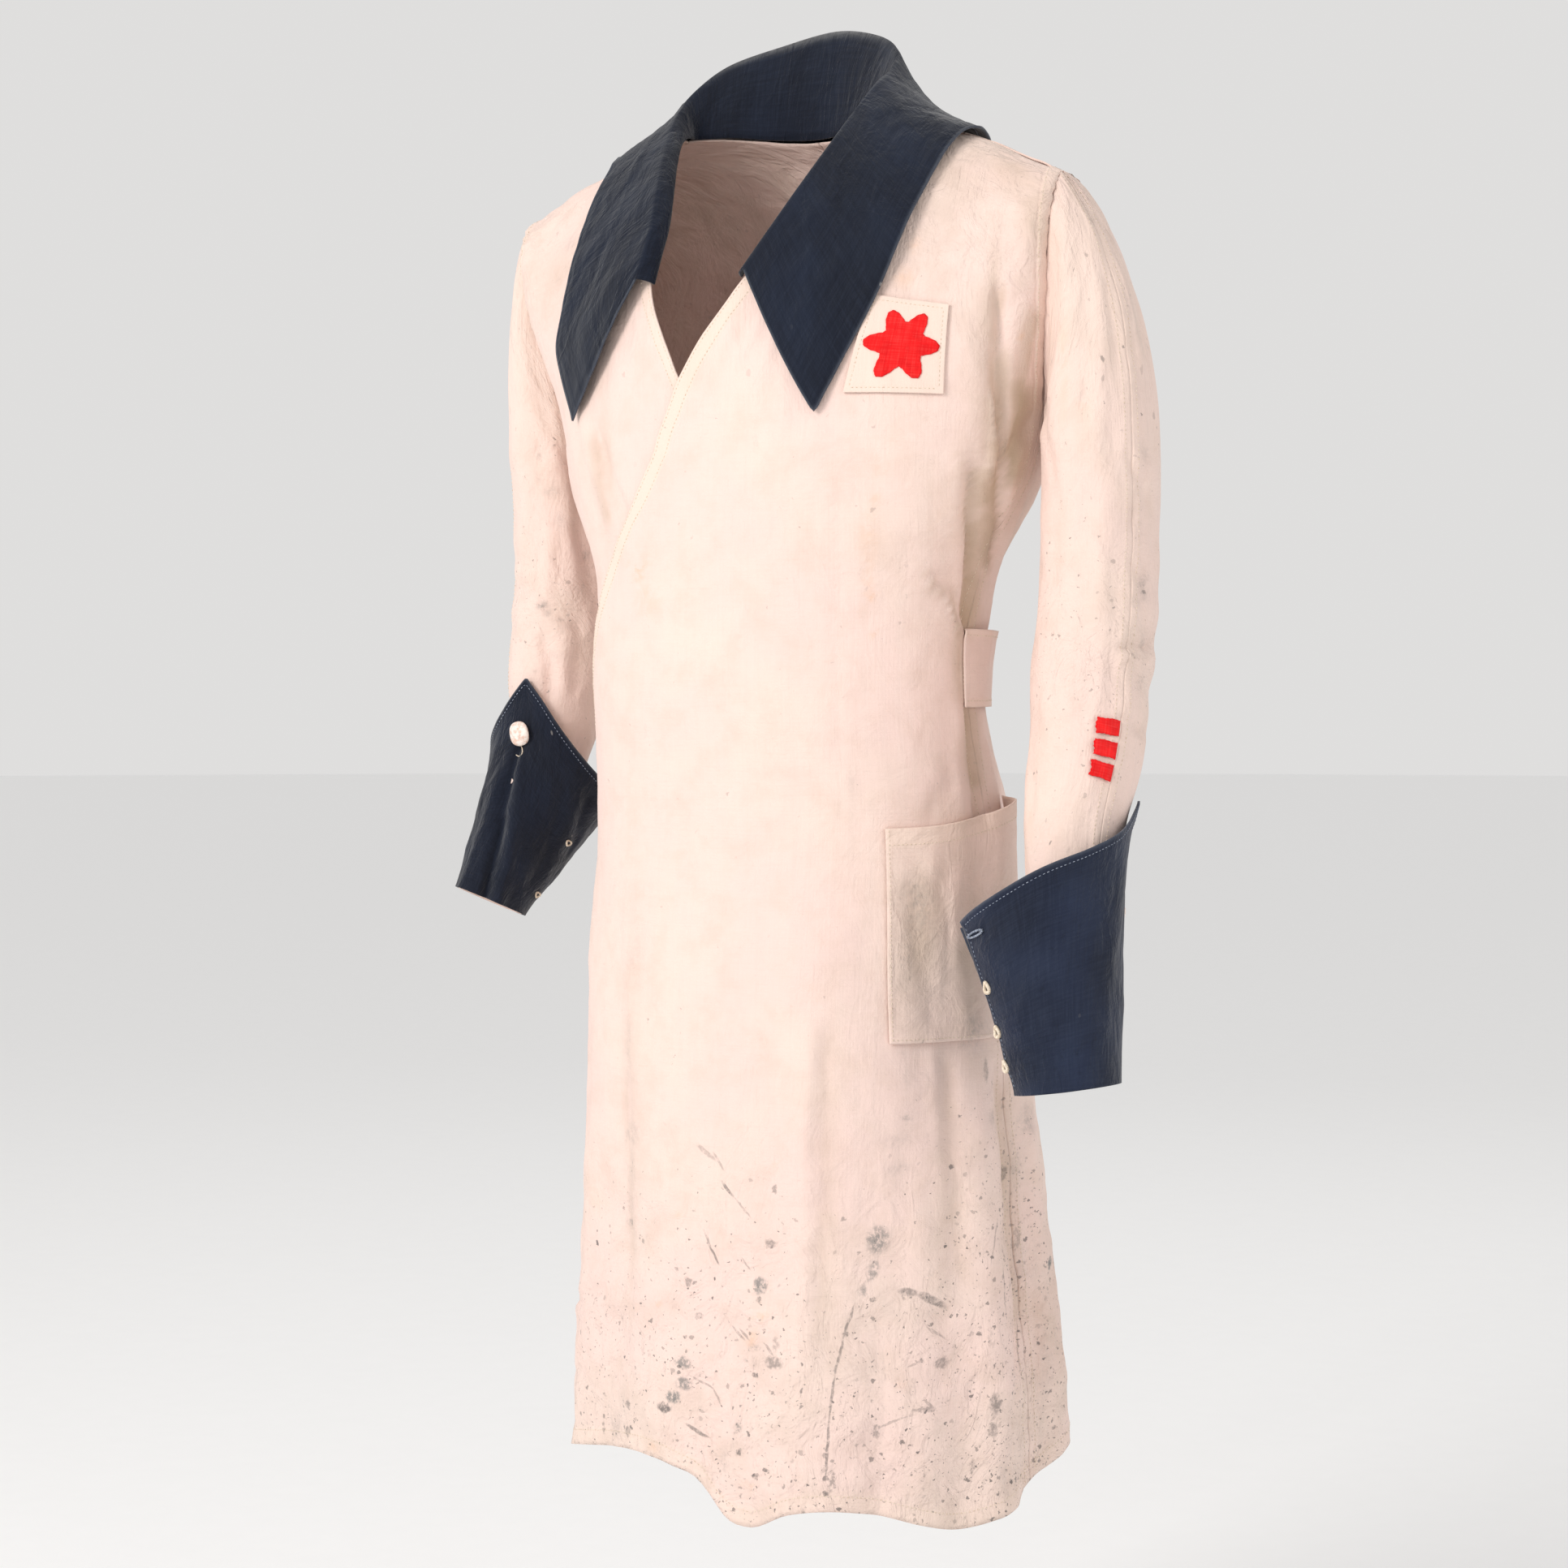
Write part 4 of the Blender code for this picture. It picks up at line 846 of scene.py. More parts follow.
# Painted grey-brown shade in folds and hollows, under the arms, on the shoulder and beside the pocket: angle,
# height, half sizes in millimetres, strength
BODY_SHADE = (
    (64.0, -0.060, 26.0, 22.0, 0.34), (80.0, -0.100, 12.0, 30.0, 0.36), (66.0, -0.150, 4.0, 22.0, 0.40),
    (67.0, -0.205, 6.0, 30.0, 0.55), (72.0, -0.235, 6.0, 26.0, 0.45), (77.0, -0.265, 7.0, 24.0, 0.55),
    (84.0, -0.240, 9.0, 26.0, 0.62), (80.0, -0.310, 8.0, 34.0, 0.40), (70.0, -0.335, 14.0, 5.0, 0.22),
    (83.0, -0.385, 7.0, 26.0, 0.50), (83.0, -0.445, 8.0, 22.0, 0.42), (86.0, -0.740, 12.0, 70.0, 0.40),
    (70.0, -0.490, 26.0, 8.0, 0.20), (98.0, -0.850, 26.0, 60.0, 0.28), (57.0, -0.570, 13.0, 36.0, 0.42),
    (62.0, -0.560, 7.0, 28.0, 0.30), (74.0, -0.590, 12.0, 40.0, 0.42), (90.0, -0.570, 14.0, 50.0, 0.30),
    (33.0, -0.740, 6.0, 80.0, 0.16), (62.0, -0.730, 8.0, 70.0, 0.20), (-22.0, -0.700, 9.0, 90.0, 0.18),
    (-33.0, -0.240, 9.0, 34.0, 0.24), (-58.0, -0.120, 22.0, 20.0, 0.24), (-80.0, -0.200, 10.0, 60.0, 0.34),
    (-80.0, -0.330, 14.0, 50.0, 0.28), (-86.0, -0.560, 14.0, 80.0, 0.22), (50.0, -0.080, 30.0, 16.0, 0.20),
    (70.0, -0.060, 14.0, 14.0, 0.26), (180.0, -0.440, 60.0, 10.0, 0.20), (108.0, -0.300, 9.0, 40.0, 0.30),
    (252.0, -0.300, 9.0, 40.0, 0.30), (150.0, -0.620, 10.0, 90.0, 0.16), (212.0, -0.640, 10.0, 90.0, 0.16),
)
# Creases of the pocket, laid over those of the body
POCKET_CREASES = (
    (68.0, -0.537, 69.5, -0.624, 6.0, 1.8), (55.0, -0.540, 60.0, -0.634, 9.0, -1.8),
    (62.0, -0.515, 62.5, -0.599, 7.0, 1.0), (77.5, -0.537, 76.0, -0.640, 8.0, -2.4),
    (88.0, -0.509, 89.5, -0.599, 6.0, 1.4),
)
# Creases of the collar: station round the neck, share of the fall, twice, width, rise
COLLAR_CREASES = (
    (0.6, 0.30, 1.6, 0.42, 3.0, -0.8), (0.5, 0.55, 1.9, 0.62, 3.0, -0.8), (0.9, 0.75, 1.8, 0.80, 2.5, -0.6),
    (1.2, 0.18, 2.4, 0.30, 3.5, -0.8), (4.0, 0.30, 5.5, 0.60, 6.0, 0.8), (7.5, 0.40, 8.5, 0.80, 7.0, -0.7),
    (10.5, 0.30, 11.5, 0.70, 7.0, 0.8), (13.5, 0.30, 15.0, 0.50, 6.0, -0.8),
    (16.2, 0.40, 17.6, 0.75, 7.0, 0.9), (17.8, 0.30, 18.6, 0.70, 6.0, -0.7),
)
# Creases of the cuffs: angle from the apex, level from the wrist up, twice, width, rise
RIGHT_CUFF_CREASES = (
    (1.0, 0.70, -2.0, 0.50, 5.0, -3.6), (-2.0, 0.54, 8.0, 0.34, 7.0, -6.0),
    (8.0, 0.38, 24.0, 0.14, 8.0, -7.5), (24.0, 0.18, 34.0, -0.02, 8.0, -7.5),
    (18.0, 0.62, 30.0, 0.36, 8.0, 2.6), (30.0, 0.40, 52.0, -0.02, 10.0, 4.6),
    (-22.0, 0.56, -12.0, 0.02, 9.0, 2.0), (70.0, 0.75, 92.0, 0.20, 9.0, -2.0),
    (-60.0, 0.20, -38.0, 0.80, 8.0, 1.0), (96.0, 0.86, 118.0, 0.50, 8.0, -2.2),
    (120.0, 0.30, 140.0, 0.90, 8.0, -0.8),
)
LEFT_CUFF_CREASES = (
    (-60.0, 0.20, -30.0, 0.80, 8.0, 1.0), (-100.0, 0.10, -80.0, 0.70, 8.0, -1.0),
    (-20.0, 0.50, 10.0, 0.90, 6.0, -0.8), (-130.0, 0.75, -95.0, 0.82, 5.0, -0.7),
    (-150.0, 0.35, -120.0, 0.50, 6.0, 0.7), (40.0, 0.20, 70.0, 0.80, 8.0, 1.0),
    (120.0, 0.30, 140.0, 0.90, 8.0, -0.8),
)


def share_of_arm(rows):
    centres = np.array([row[:3] for row in rows])
    steps = np.linalg.norm(np.diff(centres, axis=0), axis=1)
    along = np.concatenate([[0.0], np.cumsum(steps)])
    return along / along[-1], float(along[-1])


def arm_frame(rows, share):
    known = share_of_arm(rows)[0]
    table = [(place, *row) for place, row in zip(known, rows)]

    def centre(at):
        return np.stack([smooth_value(at, table, column) for column in (1, 2, 3)], axis=-1)

    tangent = centre(np.minimum(share + 0.02, 1.0)) - centre(np.maximum(share - 0.02, 0.0))
    tangent = tangent / np.linalg.norm(tangent, axis=-1, keepdims=True)
    side = np.array([1.0, 0.0, 0.0]) - tangent * tangent[..., :1]
    side = side / np.linalg.norm(side, axis=-1, keepdims=True)
    front = np.cross(tangent, side)
    front = np.where(front[..., 1:2] > 0.0, -front, front)
    return centre(share), side, front, tangent, smooth_value(share, table, 4), smooth_value(share, table, 5)


def arm_ring(rows, share, angle, out):
    centre, side, front, tangent, across, deep = arm_frame(rows, share)
    turn = np.radians(angle)
    x = (across + out) * np.sin(turn)
    y = (deep + out) * np.cos(turn)
    cut = (LEFT_WRIST_CUT if rows is LEFT_ARM else 0.0) * ramp(share, 0.82, 1.0)
    return centre + x[..., None] * side + y[..., None] * front + (cut * y)[..., None] * tangent


def armhole_ring(sign, angle):
    turn = np.radians(angle)
    height = ARMPIT_Z + SHOULDER_SPAN * 0.5 * (1.0 + sign * np.sin(turn))
    body_angle = sign * np.where(np.cos(turn) >= 0.0, 89.9, 90.1)
    return body_point(body_angle, height, 0.0 * height) + np.array([sign * ARMHOLE_GAP, 0.0, 0.0])


def sleeve_point(rows, sign, share, angle, out=0.0):
    share, angle, out = (np.array(part, dtype=float) for part in np.broadcast_arrays(share, angle, out))
    swell = LEFT_CAP_SWELL if sign > 0.0 else RIGHT_CAP_SWELL
    ring = arm_ring(rows, np.maximum(share, CAP_SHARE), angle, out)
    loop = armhole_ring(sign, angle)
    tangent = arm_frame(rows, np.full(share.shape, CAP_SHARE))[3]
    high = 0.5 * (1.0 + sign * np.sin(np.radians(angle)))
    leave = np.stack([
        sign * (0.30 + swell * high),
        -0.15 * np.cos(np.radians(angle)),
        -1.0 + 0.45 * high,
    ], axis=-1)
    reach = np.linalg.norm(ring - loop, axis=-1, keepdims=True)
    step = np.minimum(share / CAP_SHARE, 1.0)[..., None]
    square = step * step
    cube = square * step
    cap = (
        loop * (2.0 * cube - 3.0 * square + 1.0)
        + leave * reach * (cube - 2.0 * square + step)
        + ring * (3.0 * square - 2.0 * cube)
        + tangent * reach * (cube - square)
    )
    return np.where(share[..., None] >= CAP_SHARE, ring, cap)


def seen_at(point):
    # The pixel of the photo where a point of the garment is seen
    turn = math.radians(CAMERA_ANGLE)
    side = math.cos(turn) * point[..., 0] + math.sin(turn) * point[..., 1]
    depth = CAMERA_DISTANCE - math.sin(turn) * point[..., 0] + math.cos(turn) * point[..., 1]
    high = point[..., 2] - CAMERA_Z
    across = PHOTO_MIDDLE[0] + PHOTO_SCALE * side / depth
    return np.stack([across, PHOTO_MIDDLE[1] - PHOTO_SCALE * high / depth], axis=-1)


class SeenCloth:
    # A piece of the garment as the photo shows it, to find the place that lies at a pixel
    def __init__(self, first, second, points):
        self.first = first
        self.second = second
        self.points = points
        self.pixels = seen_at(points)

    def nearest(self, across, down):
        off = self.pixels - (across, down)
        return np.unravel_index(np.argmin(np.sum(off ** 2, axis=-1)), off.shape[:2])

    def place(self, across, down):
        spot = self.nearest(across, down)
        return round(float(self.first[spot]), 1), round(float(self.second[spot]), 3)

    def scale(self, across, down):
        # Millimetres of cloth in one pixel, sideways and upwards, over a few threads of the grid
        row, column = self.nearest(across, down)
        low, high = max(row - SEEN_STEP, 0), min(row + SEEN_STEP, self.first.shape[0] - 1)
        near, far = max(column - SEEN_STEP, 0), min(column + SEEN_STEP, self.first.shape[1] - 1)
        scales = []
        for start, end in (((row, near), (row, far)), ((low, column), (high, column))):
            run = 1000.0 * np.linalg.norm(self.points[end] - self.points[start])
            scales.append(float(run / max(np.linalg.norm(self.pixels[end] - self.pixels[start]), 0.001)))
        return min(scales[0], WIDEST_PIXEL), scales[1]


def seen_body():
    angle, height = np.meshgrid(np.linspace(-88.0, 118.0, 516), np.linspace(-1.0, -0.012, 1100))
    return SeenCloth(angle, height, body_point(angle, height, lap_out(angle, height)))


def seen_sleeve(rows, sign, first, last):
    angle, share = np.meshgrid(np.linspace(first, last, 181), np.linspace(0.0, 1.0, 400))
    return SeenCloth(angle, share, sleeve_point(rows, sign, share, angle))


def marks_at(seen, notes):
    marks = []
    for across, down, wide, tall, strength in notes:
        side, up = seen.scale(across, down)
        marks.append((*seen.place(across, down), round(wide * side, 1), round(tall * up, 1), strength))
    return marks


def creases_at(seen, notes):
    creases = []
    for first_across, first_down, last_across, last_down, width, rise in notes:
        ends = (*seen.place(first_across, first_down), *seen.place(last_across, last_down))
        creases.append((*ends, width, rise))
    return creases


def cuff_point(rows, table, apex, level, off):
    level, off = (np.array(part, dtype=float) for part in np.broadcast_arrays(level, off))
    length, stand, wrist = (smooth_value(np.abs(off), table, column) for column in (1, 2, 3))
    share = 1.0 - level * length / share_of_arm(rows)[1]
    out = NAVY_CLOTH + SEWN_CLEAR + CUFF_CLEAR * ramp(level, 0.0, 0.3)
    out = out + stand * level ** 1.3 + wrist * (1.0 - level)
    return arm_ring(rows, share, apex + off, out)


def neck_surface(across, place, out):
    front_angle = np.degrees(np.arcsin(across))
    on_front = place <= 1.0
    angle = np.where(on_front, front_angle, 180.0 - front_angle)
    height = ARMPIT_Z + SHOULDER_SPAN * np.where(on_front, place, 2.0 - place)
    return body_point(angle, height, out)


def collar_points(stations, stand_steps, falls):
    # Rows from the stand's foot over the fold to the outer edge, columns round the neck
    table = [(index, *row) for index, row in enumerate(COLLAR_ROWS)]
    values = [smooth_value(stations, table, column) for column in range(1, 8)]
    neck_across, neck_place, outer_across, outer_place = values[:4]
    fold = np.stack(values[4:], axis=-1)
    none = np.zeros(stations.shape)
    neck = neck_surface(neck_across, neck_place, none)
    lift = fold - neck_surface(neck_across, neck_place, none + COLLAR_CLEAR)
    back = ramp(neck_place, 1.02, 1.16)
    past = neck_surface(neck_across * (1.0 - 0.05 * (1.0 - back)), neck_place - 0.02 * back, none) - neck
    past = past / np.linalg.norm(past, axis=-1, keepdims=True)
    foot = neck + past * (NAVY_CLOTH + STAND_SEAT * (1.0 + 0.3 * back))[:, None]
    middle = foot * 0.45 + (fold + past * STAND_LEAN) * 0.55
    lines = []
    for at in stand_steps:
        first = (at - 0.55) * (at - 1.0) / 0.55
        second = at * (at - 1.0) / (0.55 * (0.55 - 1.0))
        third = at * (at - 0.55) / 0.45
        lines.append(foot * first + middle * second + fold * third)
    for share in falls:
        across = neck_across + (outer_across - neck_across) * share
        place = neck_place + (outer_place - neck_place) * share
        lines.append(neck_surface(across, place, none + COLLAR_CLEAR) + lift * (1.0 - share) ** 2.2)
    return np.array(lines)


def body_lift(angle, height):
    # Creases that every layer of the body shares, so that the layers lie parallel
    place = cloth_place(angle, height)
    lift = CREASE_GAIN * crease_lift(place, BODY_CREASES, cloth_place)
    lift = lift + crease_lift(place, HIDDEN_CREASES, cloth_place)
    low = ramp(-height, 0.55, 0.95)
    high = ramp(height, -0.30, -0.16)
    lift = lift + (0.0008 + 0.0005 * high) * ripple(place, 0.09, 11) + 0.0012 * low * ripple(place, 0.05, 12)
    lift = lift + (0.0003 + 0.0003 * low + 0.0002 * high) * ripple(place, 0.024, 13)
    return lift


def next_to_body(angle, height):
    return 0.0 * angle


def panel(name, start, end, columns, out_rule, nape=False):
    angle, height = panel_places(start, end, dense_edges(columns), body_rows(150, 58))
    if nape:
        across = np.abs(np.sin(np.radians(angle)))
        drop = NAPE_SHARE + (1.0 - NAPE_SHARE) * np.minimum(across / NECK_SHARE, 1.0) ** 2
        height = np.where(height > ARMPIT_Z, ARMPIT_Z + (height - ARMPIT_Z) * drop, height)
    piece = Cloth(name, body_point(angle, height, out_rule(angle, height)), cloth_place(angle, height), 1)
    piece.angle = angle
    piece.height = height
    return piece


def mark_body(piece):
    # Soft stains, grey shade painted in fold hollows and beside the pocket, and ageing of a body piece, by
    # place
    place = piece.place
    angle, height = piece.angle, piece.height
    piece.marks["dirt"] = blot_cover(place, [row for row in DIRT_AND_SHADE_BLOTS if is_soft(row)], cloth_place)
    piece.marks["dirt"] = np.maximum(piece.marks["dirt"], blot_cover(place, HIDDEN_DIRT, cloth_place))
    piece.marks["blot"] = blot_cover(place, [row for row in DIRT_AND_SHADE_BLOTS if is_broad(row)], cloth_place, 1.0)
    piece.marks["rust"] = blot_cover(place, RUST_SPOTS, cloth_place)
    low = ramp(-height, 0.70, 0.93)
    side = np.exp(-(wrap_angle(angle - 84.0) / 17.0) ** 2) * ramp(-height, 0.66, 0.76)
    piece.marks["specks"] = np.clip(0.50 * low + 1.0 * side, 0.0, 1.0)
    worn = 0.75 * ramp(-height, 0.62, 0.95) + 0.6 * ramp(height, -0.25, -0.1)
    piece.marks["crumple"] = np.clip(0.25 + worn, 0.0, 1.0)


def is_soft(row):
    return max(row[2], row[3]) > 8.0 and row[4] < 0.48


def is_broad(row):
    return min(row[2], row[3]) >= 4.0 and not is_soft(row)


def edge_band(piece, side, width, rise, soft=EDGE_SOFT):
    # A turned and stitched edge stands a little proud, with a dip along its stitch line
    run = piece.to_edge(side)
    band = 1.0 - ramp(run, width - soft, width + soft)
    dip = np.exp(-((run - width + 0.0014) / 0.0011) ** 2)
    return rise * band - 0.5 * rise * dip, band


def build_body():
    trim = math.degrees(SEAM_CLEAR / 0.16)
    left = panel("front_left_cloth", left_edge, lambda h: seam_angle(h) - trim, 150, lap_out)
    right = panel("front_right_cloth", lambda h: -seam_angle(h) + trim, right_edge, 104, next_to_body)
    back_left = panel("back_left_cloth", lambda h: seam_angle(h) + trim, lambda h: 180.0 - trim + 0.0 * h,
                      72, next_to_body, nape=True)
    back_right = panel("back_right_cloth", lambda h: 180.0 + trim + 0.0 * h,
                       lambda h: 360.0 - seam_angle(h) - trim, 72, next_to_body, nape=True)
    for piece in (left, right, back_left, back_right):
        mark_body(piece)
        raised, band = edge_band(piece, "bottom", 0.012, 0.0005)
        lift = body_lift(piece.angle, piece.height) + raised
        warm = 0.5 * band
        if piece is left:
            raised, band = edge_band(piece, "first", 0.014, 0.0006)
            pucker = np.sin(piece.height / 0.0061 + 3.0 * ripple(piece.place, 0.03, 21))
            lift = lift + raised + PUCKER * band * pucker
            warm = np.maximum(warm, band)
        if piece is right:
            raised, band = edge_band(piece, "last", 0.010, 0.0004)
            lift = lift + raised
            warm = np.maximum(warm, 0.8 * band)
        armhole = "last" if piece in (left, back_right) else "first"
        run = piece.to_edge(armhole)
        upper = ramp(piece.height, ARMPIT_Z - 0.004, ARMPIT_Z + 0.010)
        felled = (1.0 - ramp(run, 0.0085, 0.0105)) * upper
        ditch = np.exp(-((run - 0.0096) / 0.0012) ** 2) * upper
        lift = lift + 0.0006 * felled - 0.0005 * ditch
        lift = lift + 0.0004 * np.exp(-(run / 0.02) ** 2) * upper * np.sin(piece.height / 0.0021)
        side_seam = (1.0 - ramp(run, 0.0075, 0.0095)) * (1.0 - upper)
        lift = lift + 0.0004 * side_seam
        warm = np.maximum(warm, 0.35 * felled)
        piece.marks["warm"] = np.clip(warm + 0.30 * ramp(piece.height, -0.14, -0.03), 0.0, 1.0)
        shade = blot_cover(piece.place, BODY_SHADE, cloth_place, 1.0)
        piece.marks["shade"] = np.maximum(shade, fold_shade(piece.place, BODY_FOLDS, cloth_place))
        piece.set_lift(lift)
    return left, right, back_left, back_right


def build_sleeve(side_name, rows, sign, creases, dirt, rust):
    cap = np.linspace(0.0, CAP_SHARE, 34, endpoint=False)
    share = np.concatenate([cap, np.linspace(CAP_SHARE, 1.0, 106)])
    trim = math.degrees(SEAM_CLEAR / 0.04)
    length = share_of_arm(rows)[1]

    def place_of(angle, at):
        angle, at = np.broadcast_arrays(np.asarray(angle, float), np.asarray(at, float))
        return np.stack([np.radians(angle) * 0.042, -length * at], axis=-1)

    halves = []
    for half, first in (("front", SLEEVE_SEAM - 180.0), ("back", SLEEVE_SEAM)):
        angle = sign * (first + trim + (180.0 - 2.0 * trim) * dense_edges(58, 0.4))
        angle, at = np.meshgrid(angle, share)
        place = place_of(angle, at)
        name = "sleeve_" + side_name + "_" + half + "_cloth"
        piece = Cloth(name, sleeve_point(rows, sign, at, angle), place, -sign)
        lift = SLEEVE_CREASE_GAIN * crease_lift(place, creases, place_of)
        lift = lift + 0.0010 * ripple(place, 0.07, 31) + 0.0004 * ripple(place, 0.02, 32)
        if sign < 0.0:
            # Room for the deep fold of the cuff above it
            under = np.exp(-((angle - 22.0) / 34.0) ** 2) * ramp(at, 0.78, 0.90)
            lift = lift - 0.0085 * under
        elbow = np.exp(-((at - 0.46) / 0.10) ** 2)
        back_side = 0.5 + 0.5 * np.cos(np.radians(sign * angle - 140.0))
        lift = lift + 0.0012 * elbow * back_side * np.sin(at * 95.0 + 1.5 * np.sin(np.radians(angle)))
        gather = np.exp(-(at / 0.035) ** 2)
        lift = lift + 0.0005 * gather * np.sin(np.radians(angle) * 46.0) * ramp(at, 0.0, 0.01)
        seam = piece.to_edge("last" if half == "front" else "first")
        lift = lift + 0.0004 * (1.0 - ramp(seam, 0.006, 0.008))
        lift = lift + edge_band(piece, "top", 0.012, 0.0003)[0]
        # Dirt; on the left sleeve also shade painted along its inner front edge
        piece.marks["dirt"] = blot_cover(place, dirt, place_of)
        piece.marks["rust"] = blot_cover(place, rust, place_of)
        piece.marks["specks"] = 0.10 + 0.12 * elbow
        piece.marks["warm"] = np.clip(0.25 + 0.35 * (1.0 - ramp(seam, 0.0, 0.008)), 0.0, 1.0)
        piece.marks["crumple"] = np.clip(0.35 + 0.5 * elbow + 0.35 * (1.0 - ramp(at, 0.05, 0.3)), 0.0, 1.0)
        piece.set_lift(lift)
        halves.append(piece)
    return halves


def build_cuff(side_name, rows, table, apex, creases):
    off = table[-1][0] * (2.0 * dense_edges(170, 0.5) - 1.0)
    level = dense_edges(62, 0.4)
    off, level = np.meshgrid(off, level)

    def place_of(angle, at):
        angle, at = np.broadcast_arrays(np.asarray(angle, float), np.asarray(at, float))
        return np.stack([np.radians(angle) * 0.045, at * 0.14], axis=-1)

    place = place_of(off, level)
    piece = Cloth("cuff_" + side_name + "_cloth", cuff_point(rows, table, apex, level, off), place, 1)
    lift = crease_lift(place, creases, place_of)
    waves = 0.0007 * ripple(place, 0.05, 41) + 0.0002 * ripple(place, 0.014, 42)
    lift = lift + waves * ramp(level, 0.0, 0.2)
    edge = piece.to_edges("top", "first", "last")
    lift = lift + 0.00035 * np.exp(-((edge - 0.0028) / 0.0018) ** 2) - 0.0004 * np.exp(-(edge / 0.0010) ** 2)
    piece.marks["warm"] = np.exp(-(edge / 0.0016) ** 2)
    piece.marks["shade"] = np.clip(0.5 + 0.5 * ripple(place, 0.06, 43), 0.0, 1.0)
    piece.marks["crumple"] = 0.4 + 0.0 * level
    piece.off = off
    piece.level = level
    piece.set_lift(lift)
    return piece


def build_collar():
    stations = (len(COLLAR_ROWS) - 1) * dense_edges(230, 0.3)
    falls = dense_edges(40, 0.35)
    stand = np.linspace(0.0, 1.0, 11)[:-1]
    grid = collar_points(stations, stand, falls)
    run = np.concatenate([[0.0], np.cumsum(np.linalg.norm(np.diff(grid[len(stand)], axis=0), axis=1))])
    up = np.concatenate([-0.035 * (1.0 - stand), 0.085 * falls])
    across, high = np.meshgrid(run, up)
    place = np.stack([across, high], axis=-1)
    piece = Cloth("collar_cloth", grid, place, 1)
    fall = ramp(high, 0.0, 0.02)

    def place_of(station, at):
        return np.array([np.interp(station, stations, run), 0.085 * at])

    lift = crease_lift(place, COLLAR_CREASES, place_of)
    lift = lift + fall * (0.0009 * ripple(place, 0.06, 51) + 0.0003 * ripple(place, 0.018, 52))
    edge = piece.to_edges("top", "first", "last")
    edge = np.where(high > 0.0, edge, 1.0)
    lift = lift + 0.0004 * np.exp(-((edge - 0.003) / 0.002) ** 2) - 0.0005 * np.exp(-(edge / 0.0010) ** 2)
    lift = lift - 0.0003 * np.exp(-((edge - 0.0095) / 0.0012) ** 2)
    piece.marks["warm"] = np.exp(-(edge / 0.0014) ** 2)
    piece.marks["shade"] = np.clip(0.5 + 0.5 * ripple(place, 0.08, 53), 0.0, 1.0)
    piece.marks["crumple"] = 0.5 + 0.0 * high
    piece.set_lift(np.maximum(lift, -0.004))
    return piece


def build_belt():
    angles = BELT_START + (BELT_END - BELT_START) * dense_edges(150, 0.4)
    levels = BELT_BOTTOM_Z + (BELT_TOP_Z - BELT_BOTTOM_Z) * dense_edges(22, 0.4)
    angle, height = np.meshgrid(angles, levels)
    share = (height - BELT_BOTTOM_Z) / (BELT_TOP_Z - BELT_BOTTOM_Z)
    loose = ramp(angle, BELT_START + 3.0, BELT_START + 18.0)
    loose = loose * (1.0 - ramp(angle, BELT_END - 18.0, BELT_END - 3.0))
    stand = CLOTH + SEWN_CLEAR + (BELT_CLEAR + BELT_STAND_OFF * share) * loose
    piece = Cloth("belt_cloth", body_point(angle, height, stand), cloth_place(angle, height), 1)
    lift = body_lift(angle, height) * (1.0 - 0.5 * loose) + 0.0004 * ripple(piece.place, 0.03, 61)
    warm = np.zeros(lift.shape)
    for side in ("bottom", "top"):
        raised, band = edge_band(piece, side, 0.006, 0.0004)
        lift = lift + raised
        warm = np.maximum(warm, 0.5 * band)
    piece.marks["warm"] = warm
    piece.marks["crumple"] = 0.3 + 0.0 * angle
    piece.set_lift(lift)
    return piece


def build_pocket():
    angles = POCKET_START + (POCKET_END - POCKET_START) * dense_edges(76, 0.4)
    shares = dense_edges(72, 0.4)
    angle, share = np.meshgrid(angles, shares)
    across = (angle - POCKET_START) / (POCKET_END - POCKET_START)
    height = POCKET_BOTTOM_Z + (POCKET_TOP_Z + POCKET_TOP_RISE * across ** 2 - POCKET_BOTTOM_Z) * share
    gape = POCKET_GAPE * share ** 2 * ramp(angle, 76.0, 96.0) * (1.0 - ramp(angle, 98.0, 104.0))
    out = lap_out(angle, height) + CLOTH + SEWN_CLEAR + gape
    piece = Cloth("pocket_cloth", body_point(angle, height, out), cloth_place(angle, height), 1)
    lift = body_lift(angle, height)
    inside = piece.to_edges("first", "last", "bottom")
    lift = lift + crease_lift(piece.place, POCKET_CREASES, cloth_place) * ramp(inside, 0.0, 0.02)
    raised, band = edge_band(piece, "top", 0.013, 0.0005)
    lift = lift + raised + 0.0004 * np.exp(-((inside - 0.0025) / 0.0015) ** 2)
    piece.angle = angle
    piece.height = height
    mark_body(piece)
    piece.marks["warm"] = np.clip(0.35 + 0.5 * band, 0.0, 1.0)
    piece.marks["specks"] = 0.25 * piece.marks["specks"]
    piece.marks["shade"] = blot_cover(piece.place, BODY_SHADE, cloth_place, 1.0)
    piece.marks["crumple"] = 0.55 + 0.0 * angle
    piece.set_lift(lift)
    return piece


def patch_place(share, up):
    first, final = (low + (high - low) * up for low, high in zip(PATCH_BOTTOM_ANGLES, PATCH_TOP_ANGLES))
    return first + (final - first) * share, PATCH_BOTTOM_Z + (PATCH_TOP_Z - PATCH_BOTTOM_Z) * up


